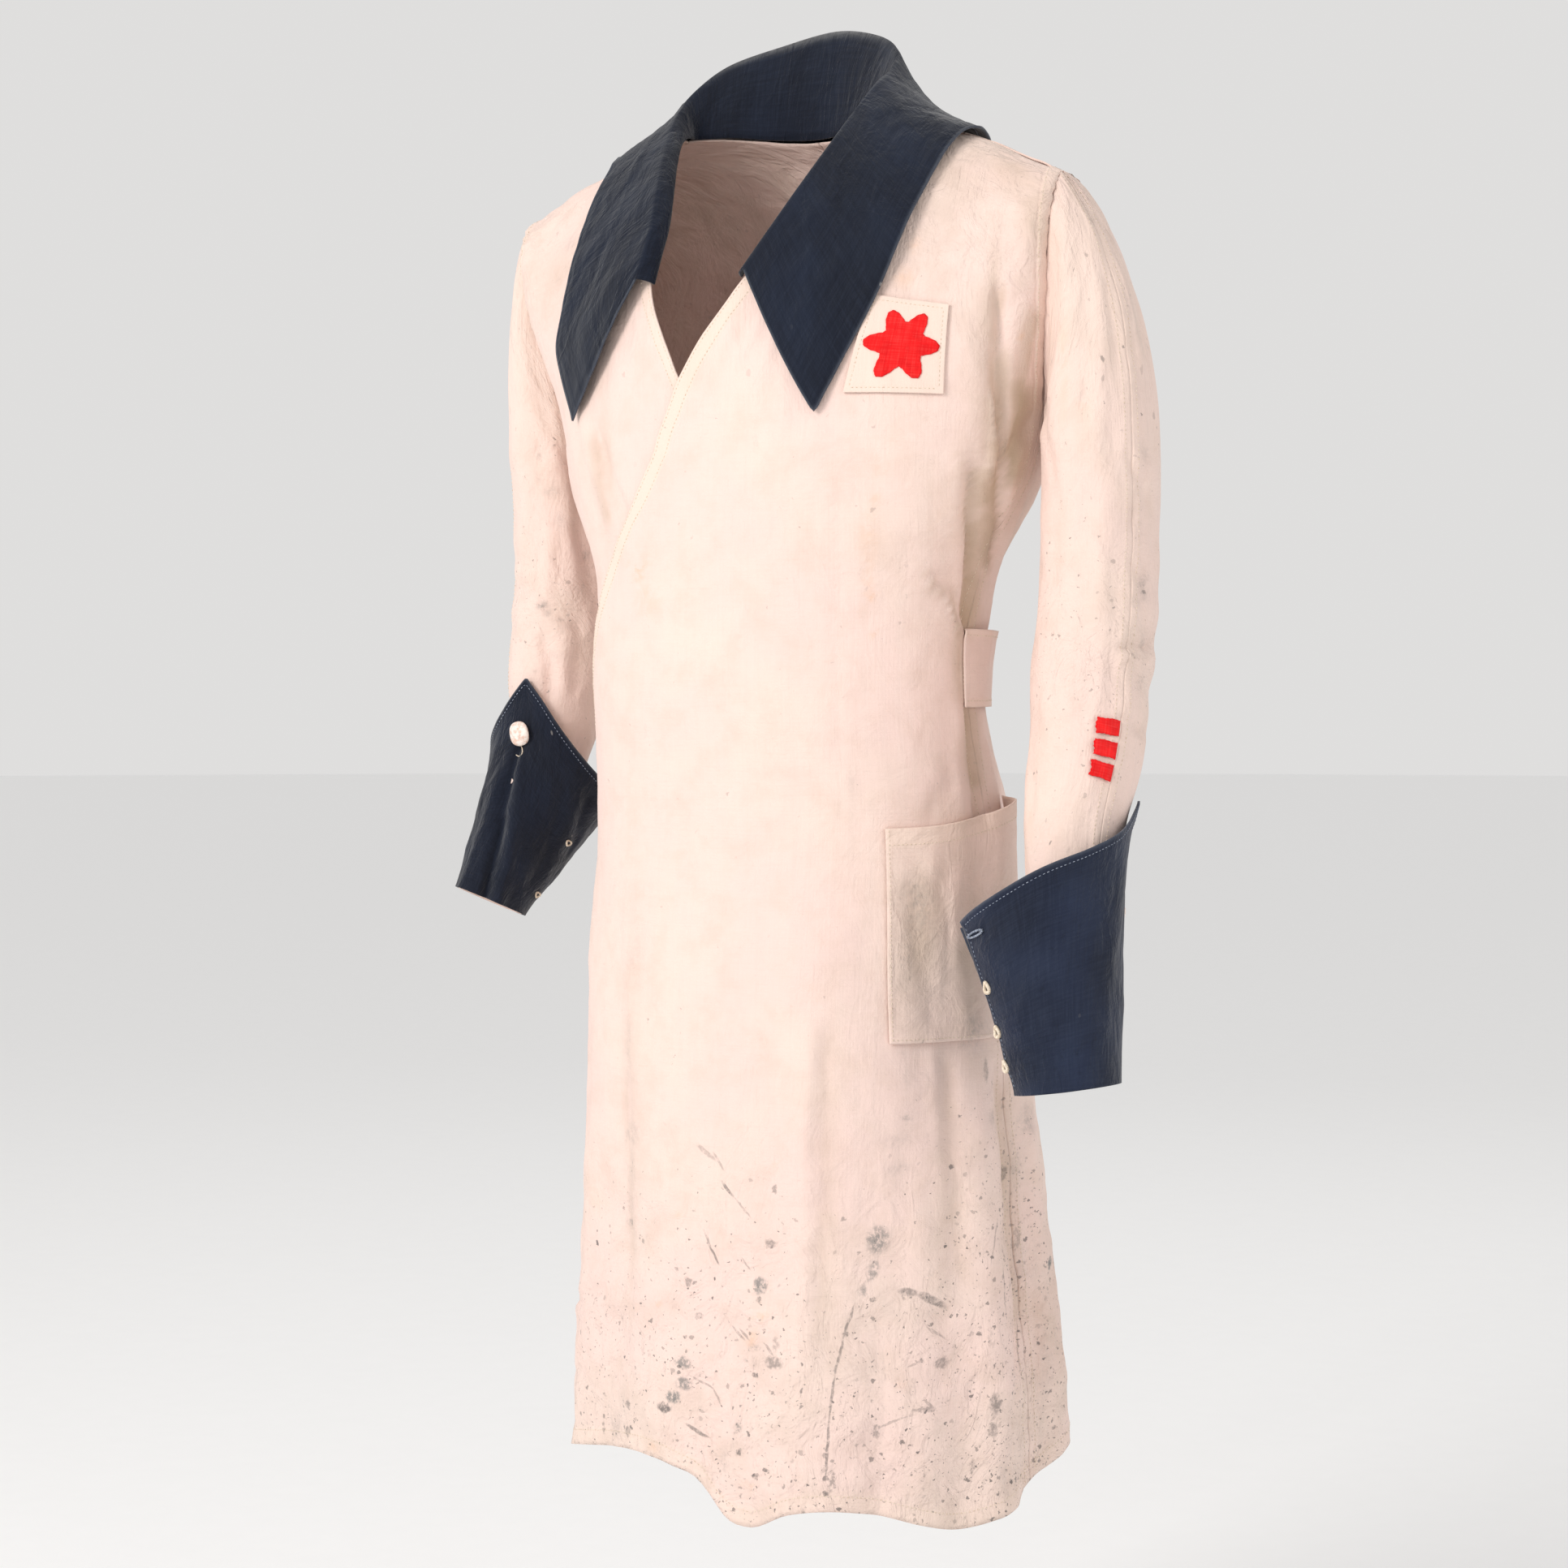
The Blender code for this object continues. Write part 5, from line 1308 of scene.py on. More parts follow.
def build_patch():
    shares = dense_edges(44, 0.4)
    share, up = np.meshgrid(shares, shares)
    angle, height = patch_place(share, up)
    piece = Cloth("breast_patch_cloth", body_point(angle, height, lap_out(angle, height) + PATCH_CLEAR),
                  cloth_place(angle, height), 1)
    edge = piece.to_edges("first", "last", "bottom", "top")
    lift = body_lift(angle, height) + 0.0003 * ramp(edge, 0.0, 0.004)
    lift = lift - 0.0002 * np.exp(-((edge - 0.0035) / 0.001) ** 2)
    piece.marks["warm"] = 0.8 + 0.0 * angle
    piece.marks["crumple"] = 0.25 + 0.0 * angle
    piece.angle = angle
    piece.height = height
    piece.set_lift(lift)
    return piece


def build_bars():
    bars = []
    for number, (first, final) in enumerate(BAR_STATIONS, start=1):
        along, across = np.meshgrid(np.linspace(0.0, 1.0, 22), np.linspace(0.0, 1.0, 22), indexing="ij")
        # Frayed, uneven edges
        fray = 0.020 * np.sin(across * 9.0 + number * 2.1) + 0.012 * np.sin(across * 31.0 + number)
        slant = 0.06 * (across - 0.5) * (number - 2)
        share = first + (final - first) * (along + fray * (2.0 * along - 1.0) + slant)
        side = 0.030 * np.sin(along * 7.0 + number * 1.3) + 0.018 * np.sin(along * 23.0 + number * 3.0)
        angle = BAR_START + (BAR_END - BAR_START) * (across + side * (1.0 - across))
        grid = sleeve_point(LEFT_ARM, 1.0, share, angle, BAR_CLEAR)
        place = np.stack([np.radians(angle) * 0.042, -0.55 * share], axis=-1)
        piece = Cloth("service_bar_%d_cloth" % number, grid, place, -1)
        piece.set_lift(0.0003 * np.sin(math.pi * along) ** 0.3 * np.sin(math.pi * across) ** 0.3)
        inside = np.minimum.reduce([along, 1.0 - along, across, 1.0 - across])
        piece.marks["warm"] = 1.0 - ramp(inside, 0.0, 0.1)
        bars.append(piece)
    return bars


def sewn_rosette(patch, finish):
    # Plain six-lobed flower in red cloth on the breast patch, laid on the patch's own form
    rings = 15
    spokes = 132
    centre_share, centre_up = 0.50, 0.50
    half = 0.0262
    wide = float(np.mean(patch.to_edge("first")[:, -1]))
    tall = float(np.mean(patch.to_edge("bottom")[-1, :]))
    radius = np.linspace(0.0, 1.0, rings)
    turn = np.linspace(0.0, math.tau, spokes, endpoint=False)
    lobe = 0.80 + 0.20 * np.cos(6.0 * turn)
    lobe = lobe + 0.012 * np.sin(turn * 41.0)
    radius, lobe = np.meshgrid(radius, lobe, indexing="ij")
    turns = np.broadcast_to(turn, radius.shape)
    share = centre_share + half * radius * lobe * np.cos(turns) / wide
    up = centre_up + half * radius * lobe * np.sin(turns) / tall
    grid = patch_point(share, up, 0.0009)
    faces = [face[::-1] for face in ring_faces(rings, spokes)]
    item = laid_mesh("breast_rosette", grid.reshape(-1, 3).tolist(), faces, finish, 0.0005)
    flat = np.stack([share * wide, up * tall], axis=-1).reshape(-1, 2)
    corners = [index for face in faces for index in face]
    mark_points(item.data, flat, corners, {"warm": ramp(radius, 0.93, 1.0)})
    return item


def patch_point(share, up, out):
    angle, height = patch_place(share, up)
    return body_point(angle, height, lap_out(angle, height) + PATCH_CLEAR + body_lift(angle, height) + out)


def cuff_frame(piece, level, off):
    # Place on a cuff, its way out, and the way up the cuff
    row = int(np.argmin(np.abs(piece.level[:, 0] - level)))
    column = int(np.argmin(np.abs(piece.off[0] - off)))
    spot = piece.grid[row, column]
    out = piece.normal[row, column]
    up = piece.grid[min(row + 2, len(piece.grid) - 1), column] - piece.grid[max(row - 2, 0), column]
    up = up / np.linalg.norm(up)
    return spot, out, up


def turned_piece(name, profile, steps, spot, out, up, finish, dent=0.0):
    # A turned shape round the way out of the cloth
    first = np.cross(up, out)
    first = first / np.linalg.norm(first)
    second = np.cross(out, first)
    points = []
    for radius, high in profile:
        for step in range(steps):
            turn = math.tau * step / steps
            broad = 0.12 * max(0.0, radius) * math.sin(turn * 3.0 + 0.7)
            fine = 0.0002 * math.sin(turn * 2.0 + radius * 600.0)
            ring = radius * (math.cos(turn) * first + math.sin(turn) * second)
            points.append(spot + out * (high + dent * (broad + fine)) + ring)
    faces = ring_faces(len(profile), steps)
    faces.append(tuple(range((len(profile) - 1) * steps, len(profile) * steps)))
    faces.append(tuple(reversed(range(steps))))
    return laid_mesh(name, points, faces, finish)


def dome_button(name, piece, off, finish):
    # A dome covered in cloth over a flat back, on a short thread shank
    spot, out, up = cuff_frame(piece, BUTTON_PLACE, off)
    radius = BUTTON_RADIUS
    profile = [(0.0022, 0.0006), (0.0021, 0.0024), (radius * 0.80, 0.0026), (radius * 0.955, 0.0030)]
    for step in range(15):
        rise = math.radians(-18.0 + 105.0 * step / 14.0)
        profile.append((max(radius * math.cos(rise), 0.0003), 0.0040 + 0.0040 * math.sin(rise)))
    return turned_piece(name, profile, 56, spot, out, up, finish, dent=0.6)


def thread_loop(name, centre, up, out, size, finish, turns=1.0, thick=0.0004):
    # A loose loop of button thread
    side = np.cross(up, out)
    points = []
    for step in range(25):
        turn = math.tau * turns * step / 24.0
        points.append(centre + up * size[1] * math.cos(turn) + side * size[0] * math.sin(turn)
                      + out * (0.0009 + 0.0005 * math.sin(turn * 2.0)))
    return tube(name, np.array(points), thick, finish)


def tube(name, path, radius, finish, steps=8):
    points = []
    along = np.gradient(path, axis=0)
    along = along / np.linalg.norm(along, axis=1, keepdims=True)
    side = np.cross(along[0], [0.3, 0.2, 0.9])
    side = side / np.linalg.norm(side)
    for index, spot in enumerate(path):
        side = side - along[index] * side.dot(along[index])
        side = side / np.linalg.norm(side)
        other = np.cross(along[index], side)
        size = radius * (1.0 if 0 < index < len(path) - 1 else 0.5)
        for step in range(steps):
            turn = math.tau * step / steps
            points.append(spot + size * (math.cos(turn) * side + math.sin(turn) * other))
    faces = ring_faces(len(path), steps)
    faces.append(tuple(reversed(range(steps))))
    faces.append(tuple(range((len(path) - 1) * steps, len(path) * steps)))
    return laid_mesh(name, points, faces, finish)


def worked_buttonhole(name, piece, level, off, length, finish):
    # Close thread bars round a slit, as ridges across its two lips
    spot, out, up = cuff_frame(piece, level, off)
    side = np.cross(up, out)
    path = []
    for step in range(61):
        turn = math.tau * step / 60.0
        ridge = 1.0 + 0.14 * math.sin(turn * 24.0)
        lip = side * 0.5 * length * math.cos(turn) + up * 0.0016 * math.sin(turn)
        path.append(spot + out * 0.0006 + ridge * lip)
    return tube(name, np.array(path), 0.0007, finish)


class Flow:
    """A socket that takes part in sums; each sum adds a Math node."""

    def __init__(self, finish, socket):
        self.finish = finish
        self.socket = socket

    def sum(self, operation, first, second, clamp=False):
        settings = {"operation": operation, "use_clamp": clamp}
        node = self.finish.add("ShaderNodeMath", settings, {0: first, 1: second})
        return Flow(self.finish, node.outputs[0])

    def __add__(self, other):
        return self.sum("ADD", self, other)

    def __radd__(self, other):
        return self.sum("ADD", other, self)

    def __sub__(self, other):
        return self.sum("SUBTRACT", self, other)

    def __rsub__(self, other):
        return self.sum("SUBTRACT", other, self)

    def __mul__(self, other):
        return self.sum("MULTIPLY", self, other)

    def __rmul__(self, other):
        return self.sum("MULTIPLY", other, self)

    def __pow__(self, other):
        return self.sum("POWER", self, other)

    def most(self, other):
        return self.sum("MAXIMUM", self, other)

    def held(self, scale=1.0):
        # Kept between 0 and 1
        return self.sum("MULTIPLY", self, scale, clamp=True)

    def between(self, low, high):
        node = self.finish.add("ShaderNodeMapRange", {"interpolation_type": "SMOOTHSTEP"},
                               {"Value": self, "From Min": low, "From Max": high})
        return Flow(self.finish, node.outputs["Result"])


class ClothFinish:
    """A material of one cloth, built up from its places, threads, stains, painted shade and wrinkles."""

    def __init__(self, name, roughness, sheen=0.0, sheen_roughness=0.5, specular=0.3):
        self.material = bpy.data.materials.new(name)
        self.material.use_nodes = True
        self.tree = self.material.node_tree
        self.shader = self.tree.nodes["Principled BSDF"]
        self.shader.inputs["Roughness"].default_value = roughness
        self.shader.inputs["Sheen Weight"].default_value = sheen
        self.shader.inputs["Sheen Roughness"].default_value = sheen_roughness
        self.shader.inputs["Specular IOR Level"].default_value = specular
        self.place = self.add("ShaderNodeUVMap", {"uv_map": "cloth"}).outputs["UV"]
        self.object_place = self.add("ShaderNodeTexCoord").outputs["Object"]

    def add(self, kind, settings=None, inputs=None):
        node = self.tree.nodes.new(kind)
        for key, value in (settings or {}).items():
            if key == "stops":
                ramp_of = node.color_ramp
                while len(ramp_of.elements) < len(value):
                    ramp_of.elements.new(0.5)
                for element, (at, colour) in zip(ramp_of.elements, value):
                    element.position = at
                    element.color = (*colour, 1.0)
            else:
                setattr(node, key, value)
        for key, value in (inputs or {}).items():
            socket = node.inputs[key]
            if isinstance(value, Flow):
                value = value.socket
            if isinstance(value, bpy.types.NodeSocket):
                self.tree.links.new(value, socket)
            else:
                socket.default_value = value
        return node

    def vector(self, operation, inputs):
        return self.add("ShaderNodeVectorMath", {"operation": operation}, inputs).outputs[0]

    def mark(self, name):
        node = self.add("ShaderNodeAttribute", {"attribute_name": name})
        return Flow(self, node.outputs["Fac"])

    def noise(self, scale, detail=3.0, rough=0.55, stretch=None, twist=0.0, place=None):
        vector = place or self.place
        if stretch:
            scaled = self.add("ShaderNodeMapping", None, {"Vector": vector, "Scale": (*stretch, 1.0)})
            vector = scaled.outputs[0]
        node = self.add("ShaderNodeTexNoise", None, {
            "Vector": vector, "Scale": scale, "Detail": detail, "Roughness": rough, "Distortion": twist,
        })
        return Flow(self, node.outputs["Fac"])

    def cells(self, scale, feature="F1", vector=None, jitter=1.0):
        node = self.add("ShaderNodeTexVoronoi", {"feature": feature, "voronoi_dimensions": "2D"},
                        {"Vector": vector or self.place, "Scale": scale, "Randomness": jitter})
        return node

    def blend(self, share, first, second, mode="MIX"):
        node = self.add("ShaderNodeMix", {"data_type": "RGBA", "blend_type": mode}, {0: share})
        for slot, colour in ((6, first), (7, second)):
            if isinstance(colour, bpy.types.NodeSocket):
                self.tree.links.new(colour, node.inputs[slot])
            else:
                node.inputs[slot].default_value = (*colour, 1.0)
        return node.outputs[2]

    def relief(self, height, depth, under=None):
        inputs = {"Height": height, "Distance": depth, "Strength": 1.0}
        if under is not None:
            inputs["Normal"] = under
        return self.add("ShaderNodeBump", None, inputs).outputs["Normal"]

    def wander(self, scale, amount):
        # The cloth's places, shaken a little, so that marks get uneven rims
        bent = self.add("ShaderNodeTexNoise", None, {"Vector": self.place, "Scale": scale, "Detail": 3.0})
        moved = self.vector("SUBTRACT", {0: bent.outputs["Color"], 1: (0.5, 0.5, 0.5)})
        moved = self.vector("SCALE", {0: moved, "Scale": amount})
        return self.vector("ADD", {0: self.place, 1: moved})

    def ovals(self, marks, ragged):
        # Hard-edged marks as ovals in the cloth's own metres, with ragged rims
        cover = None
        for centre, wide, tall, strength, turn in marks:
            near = self.add("ShaderNodeMapping", {"vector_type": "TEXTURE"}, {
                "Vector": ragged,
                "Location": (float(centre[0]), float(centre[1]), 0.0),
                "Rotation": (0.0, 0.0, turn),
                "Scale": (0.001 * wide, 0.001 * tall, 1.0),
            }).outputs[0]
            reach = self.add("ShaderNodeVectorMath", {"operation": "LENGTH"}, {0: near}).outputs["Value"]
            inside = (1.25 - Flow(self, reach)).held(2.2) * strength
            cover = inside if cover is None else cover.most(inside)
        return cover

    def speckle(self, vector, scale, share, turn, stretch=(1.0, 1.0, 1.0)):
        # Round specks in some of the cells, more of them where the cloth's own value is high
        moved = self.add("ShaderNodeMapping", None, {
            "Vector": vector, "Rotation": (0.0, 0.0, turn), "Scale": stretch,
        }).outputs[0]
        spots = self.cells(scale, vector=moved)
        odd = self.add("ShaderNodeSeparateColor", None, {0: spots.outputs["Color"]})
        chosen = (self.mark("specks") * share - Flow(self, odd.outputs[0])).between(-0.01, 0.01)
        size = 0.10 + Flow(self, odd.outputs[1]) * 0.26
        dot = (size - Flow(self, spots.outputs["Distance"])).between(-0.02, 0.12)
        return chosen * dot * (0.20 + Flow(self, odd.outputs[2]) * 0.80)

    def finish_with(self, colour, normal, roughness=None):
        self.tree.links.new(colour, self.shader.inputs["Base Color"])
        self.tree.links.new(normal, self.shader.inputs["Normal"])
        if roughness is not None:
            self.tree.links.new(roughness.socket, self.shader.inputs["Roughness"])
        return self.material


def plain_weave(finish, pitch, slub):
    # Over-and-under threads, uneven like spun cotton
    parts = finish.add("ShaderNodeSeparateXYZ", None, {0: finish.place})
    turn = math.tau / pitch
    warp = (Flow(finish, parts.outputs[0]) * turn).sum("SINE", Flow(finish, parts.outputs[0]) * turn, 0.0)
    weft = (Flow(finish, parts.outputs[1]) * turn).sum("SINE", Flow(finish, parts.outputs[1]) * turn, 0.0)
    across = finish.noise(1.0, 2.0, 0.6, stretch=(1.0 / slub, 30.0))
    down = finish.noise(1.0, 2.0, 0.6, stretch=(30.0, 1.0 / slub))
    return warp * weft * 0.25 + 0.5, across, down


def white_cotton(name, marks=(), age=1.0):
    finish = ClothFinish(name, 0.86, sheen=0.12, sheen_roughness=0.6, specular=0.18)
    weave, across, down = plain_weave(finish, 0.0011, 0.0016)
    cloud = finish.noise(9.0, 4.0, 0.6)
    patchy = finish.noise(34.0, 5.0, 0.62)
    mottle = finish.noise(140.0, 4.0, 0.65)
    colour = finish.blend(cloud.between(0.35, 0.68), WHITE_PINK, WHITE_CREAM)
    colour = finish.blend(patchy.between(0.42, 0.72) * 0.34, colour, WHITE_AGED)
    stripe = finish.noise(1.0, 3.0, 0.6, stretch=(170.0, 5.0))
    colour = finish.blend(stripe.between(0.44, 0.62) * 0.07, colour, WHITE_GREY)
    colour = finish.blend((across * 0.5 + down * 0.5).between(0.40, 0.66) * 0.10, colour, WHITE_AGED)
    colour = finish.blend(finish.mark("warm").held(0.62), colour, WHITE_EDGE)
    # Painted brown shade in folds, under the arms, on the shoulder and beside the pocket
    colour = finish.blend((finish.mark("shade") * (0.60 + patchy * 0.7)).held(), colour, PAINTED_FOLD_SHADE)
    grime = finish.noise(60.0, 5.0, 0.7, twist=0.4)
    film = (cloud * 0.5 + patchy * 0.5).between(0.44, 0.66) * finish.mark("crumple")
    colour = finish.blend(film * 0.22 * age, colour, SOFT_GRIME)
    rust = finish.mark("rust") * grime.between(0.38, 0.62)
    rust = (rust * 1.25).held()
    colour = finish.blend(rust * 0.72, colour, RUST_STAIN)
    dry = finish.noise(300.0, 4.0, 0.75, stretch=(1.0, 0.7))
    # Soft grey dirt, and grey shade painted in fold hollows and beside the pocket
    dirt = finish.mark("dirt") * grime.between(0.34, 0.60) * (0.35 + dry.between(0.35, 0.62) * 0.9)
    colour = finish.blend(dirt.held(0.95), colour, DIRT_AND_SHADE_GREY)
    blot = (finish.mark("blot") * (0.25 + grime * 1.5)).between(0.34, 0.62) * dry.between(0.36, 0.56)
    colour = finish.blend((blot * (0.35 + finish.mark("blot") * 0.65)).held(), colour, DIRT_AND_SHADE_GREY)
    ragged = finish.wander(330.0, 0.0055)
    if marks:
        round_marks = [mark for mark in marks if mark[4] == 0.0]
        drawn_marks = [mark for mark in marks if mark[4] != 0.0]
        calm = finish.wander(120.0, 0.0030)
        hard = finish.ovals(round_marks, ragged).most(finish.ovals(drawn_marks, calm))
        hard = hard * (0.20 + dry.between(0.34, 0.58) * 0.72)
        colour = finish.blend(hard.held(0.78), colour, DIRT_DARK)
    # Scattered specks, denser where the cloth says so
    specks = finish.speckle(ragged, 420.0, 0.34, 0.0).most(finish.speckle(ragged, 190.0, 0.20, 0.0))
    smears = finish.speckle(ragged, 95.0, 0.16, 0.6, (1.0, 0.40, 1.0)) * dry.between(0.40, 0.56)
    specks = specks.most(smears * 0.70)
    colour = finish.blend(specks.held(0.80 * age), colour, DIRT_DARK)
    # Crumples: soft facets with sharper lines between them
    soft = finish.noise(38.0, 4.0, 0.55, twist=0.9)
    lines = finish.noise(24.0, 5.0, 0.6, stretch=(1.0, 0.55), twist=1.6)
    ridge = (lines - 0.5).sum("ABSOLUTE", lines - 0.5, 0.0)
    crumple = finish.mark("crumple")
    normal = finish.relief(soft * crumple + (1.0 - ridge.held(14.0)) * crumple * 0.10, 0.0046)
    normal = finish.relief(mottle * 0.4 + across * 0.5 + down * 0.5, 0.00045, normal)
    normal = finish.relief(weave, 0.00010, normal)
    return finish.finish_with(colour, normal, 0.80 + mottle * 0.14)


def navy_cotton(name, base, light, edge_wear=0.5, faded=0.0):
    finish = ClothFinish(name, 0.88, sheen=0.25, sheen_roughness=0.45, specular=0.15)
    weave, across, down = plain_weave(finish, 0.0010, 0.0013)
    cloud = finish.noise(22.0, 5.0, 0.6)
    mottle = finish.noise(160.0, 4.0, 0.65)
    colour = finish.blend(cloud.between(0.34, 0.70), base, light)
    colour = finish.blend(finish.mark("shade").held(0.6), colour, NAVY_BLACK)
    yarns = (across * 0.5 + down * 0.5).between(0.42, 0.66)
    colour = finish.blend(yarns * (0.20 + faded), colour, NAVY_THREAD)
    colour = finish.blend(mottle.between(0.56, 0.74) * 0.30, colour, NAVY_BLACK)
    colour = finish.blend(finish.mark("warm") * (0.25 + mottle * 0.8) * edge_wear, colour, NAVY_WORN)
    lint = finish.cells(170.0)
    odd = finish.add("ShaderNodeSeparateColor", None, {0: lint.outputs["Color"]})
    rare = (0.006 - Flow(finish, odd.outputs[0])).between(0.0, 0.01)
    fluff = rare * (0.22 - Flow(finish, lint.outputs["Distance"])).between(0.0, 0.08)
    colour = finish.blend(fluff * 0.55, colour, LINT)
    soft = finish.noise(46.0, 4.0, 0.55, twist=0.6)
    lines = finish.noise(30.0, 5.0, 0.6, stretch=(1.0, 0.5), twist=1.4)
    ridge = (lines - 0.5).sum("ABSOLUTE", lines - 0.5, 0.0)
    normal = finish.relief(soft + (1.0 - ridge.held(14.0)) * 0.10, 0.0030)
    normal = finish.relief(across * 0.5 + down * 0.5, 0.0004, normal)
    normal = finish.relief(weave, 0.00010, normal)
    return finish.finish_with(colour, normal, 0.82 + mottle * 0.12)


def red_cotton(name):
    finish = ClothFinish(name, 0.85, sheen=0.15, specular=0.15)
    weave, across, down = plain_weave(finish, 0.0010, 0.0011)
    cloud = finish.noise(120.0, 4.0, 0.6)
    colour = finish.blend(cloud.between(0.35, 0.7), RED_DEEP, RED_LIGHT)
    colour = finish.blend((across * 0.5 + down * 0.5).between(0.44, 0.66) * 0.45, colour, RED_THREAD)
    colour = finish.blend(finish.mark("warm") * 0.40, colour, RED_DEEP)
    normal = finish.relief(cloud + across * 0.5 + down * 0.5, 0.0006)
    normal = finish.relief(weave, 0.00012, normal)
    return finish.finish_with(colour, normal, 0.80 + cloud * 0.12)


def thread_finish(name, light, dark):
    finish = ClothFinish(name, 0.75, sheen=0.1, specular=0.2)
    twist = finish.noise(900.0, 2.0, 0.5, place=finish.object_place)
    colour = finish.blend(twist.between(0.4, 0.6), light, dark)
    normal = finish.relief(twist, 0.0002)
    return finish.finish_with(colour, normal, 0.70 + twist * 0.15)


def covered_button(name):
    finish = ClothFinish(name, 0.50, sheen=0.1, specular=0.4)
    cloud = finish.noise(260.0, 4.0, 0.6, place=finish.object_place)
    fine = finish.noise(1500.0, 2.0, 0.6, place=finish.object_place)
    colour = finish.blend(cloud.between(0.42, 0.62), BUTTON_PALE, BUTTON_PINK)
    colour = finish.blend(fine.between(0.56, 0.72) * 0.35, colour, BUTTON_WORN)
    normal = finish.relief(cloud, 0.0012)
    normal = finish.relief(fine, 0.0002, normal)
    return finish.finish_with(colour, normal, 0.38 + cloud * 0.3)


def backdrop_floor(name):
    finish = ClothFinish(name, 0.95, specular=0.1)
    grain = finish.noise(30.0, 3.0, 0.5, place=finish.object_place)
    colour = finish.blend(grain, (0.93, 0.93, 0.93), (0.95, 0.95, 0.95))
    normal = finish.relief(grain, 0.0005)
    return finish.finish_with(colour, normal)


# Colours, as light values
WHITE_PINK = (0.835, 0.640, 0.582)
WHITE_CREAM = (0.845, 0.670, 0.594)
WHITE_AGED = (0.730, 0.545, 0.455)
WHITE_GREY = (0.640, 0.560, 0.500)
WHITE_EDGE = (0.850, 0.680, 0.570)
SOFT_GRIME = (0.470, 0.405, 0.340)
# Brown of the shade painted in folds
PAINTED_FOLD_SHADE = (0.450, 0.335, 0.225)
RUST_STAIN = (0.740, 0.400, 0.200)
# Grey of dirt, and of the shade painted in fold hollows
DIRT_AND_SHADE_GREY = (0.190, 0.190, 0.185)
DIRT_DARK = (0.070, 0.072, 0.075)
NAVY_BASE = (0.0075, 0.0105, 0.0210)
NAVY_LIGHT = (0.0120, 0.0175, 0.0340)
NAVY_FADED = (0.0150, 0.0215, 0.0460)
NAVY_FADED_LIGHT = (0.0210, 0.0300, 0.0600)
NAVY_BLACK = (0.0070, 0.0085, 0.0140)
NAVY_THREAD = (0.0300, 0.0400, 0.0700)
NAVY_WORN = (0.1500, 0.1700, 0.2100)
LINT = (0.4500, 0.4300, 0.4000)
RED_DEEP = (0.700, 0.006, 0.008)
RED_LIGHT = (0.900, 0.013, 0.014)
RED_THREAD = (0.900, 0.070, 0.060)
BUTTON_PALE = (0.900, 0.820, 0.760)
BUTTON_PINK = (0.760, 0.540, 0.450)
BUTTON_WORN = (0.600, 0.420, 0.330)
THREAD_CREAM = (0.820, 0.730, 0.600)
THREAD_TAN = (0.640, 0.520, 0.390)
THREAD_BLUE = (0.360, 0.400, 0.480)
THREAD_SLATE = (0.170, 0.200, 0.270)

# Camera and light
# The camera that took the photo; its middle and scale are in the photo's pixels
PHOTO_MIDDLE = (967.0, 854.0)
PHOTO_SCALE = 3711.0
SEEN_STEP = 3
WIDEST_PIXEL = 1.6
CAMERA_ANGLE = 32.0
CAMERA_DISTANCE = 2.18
CAMERA_Z = -0.405
LENS = 69.15
LENS_SHIFT_Y = -0.058
FLOOR_Z = -1.26


def place_camera():
    turn = math.radians(CAMERA_ANGLE)
    camera = bpy.data.cameras.new("photo_camera")
    camera.lens = LENS
    camera.sensor_width = 36.0
    camera.sensor_fit = "HORIZONTAL"
    camera.shift_y = LENS_SHIFT_Y
    camera.clip_start = 0.05
    item = bpy.data.objects.new("photo_camera", camera)
    bpy.context.scene.collection.objects.link(item)
    item.location = (CAMERA_DISTANCE * math.sin(turn), -CAMERA_DISTANCE * math.cos(turn), CAMERA_Z)
    item.rotation_euler = (math.radians(90.0), 0.0, turn)
    bpy.context.scene.camera = item
    bpy.context.scene.view_settings.view_transform = "Standard"


def soft_light(name, angle, high, distance, size, watts, colour, target):
    turn = math.radians(angle)
    lamp = bpy.data.lights.new(name, "AREA")
    lamp.shape = "RECTANGLE"
    lamp.size = size[0]
    lamp.size_y = size[1]
    lamp.energy = watts
    lamp.color = colour
    item = bpy.data.objects.new(name, lamp)
    bpy.context.scene.collection.objects.link(item)
    item.location = (distance * math.sin(turn), -distance * math.cos(turn), high)
    way = Vector(target) - item.location
    item.rotation_euler = way.to_track_quat("-Z", "Y").to_euler()


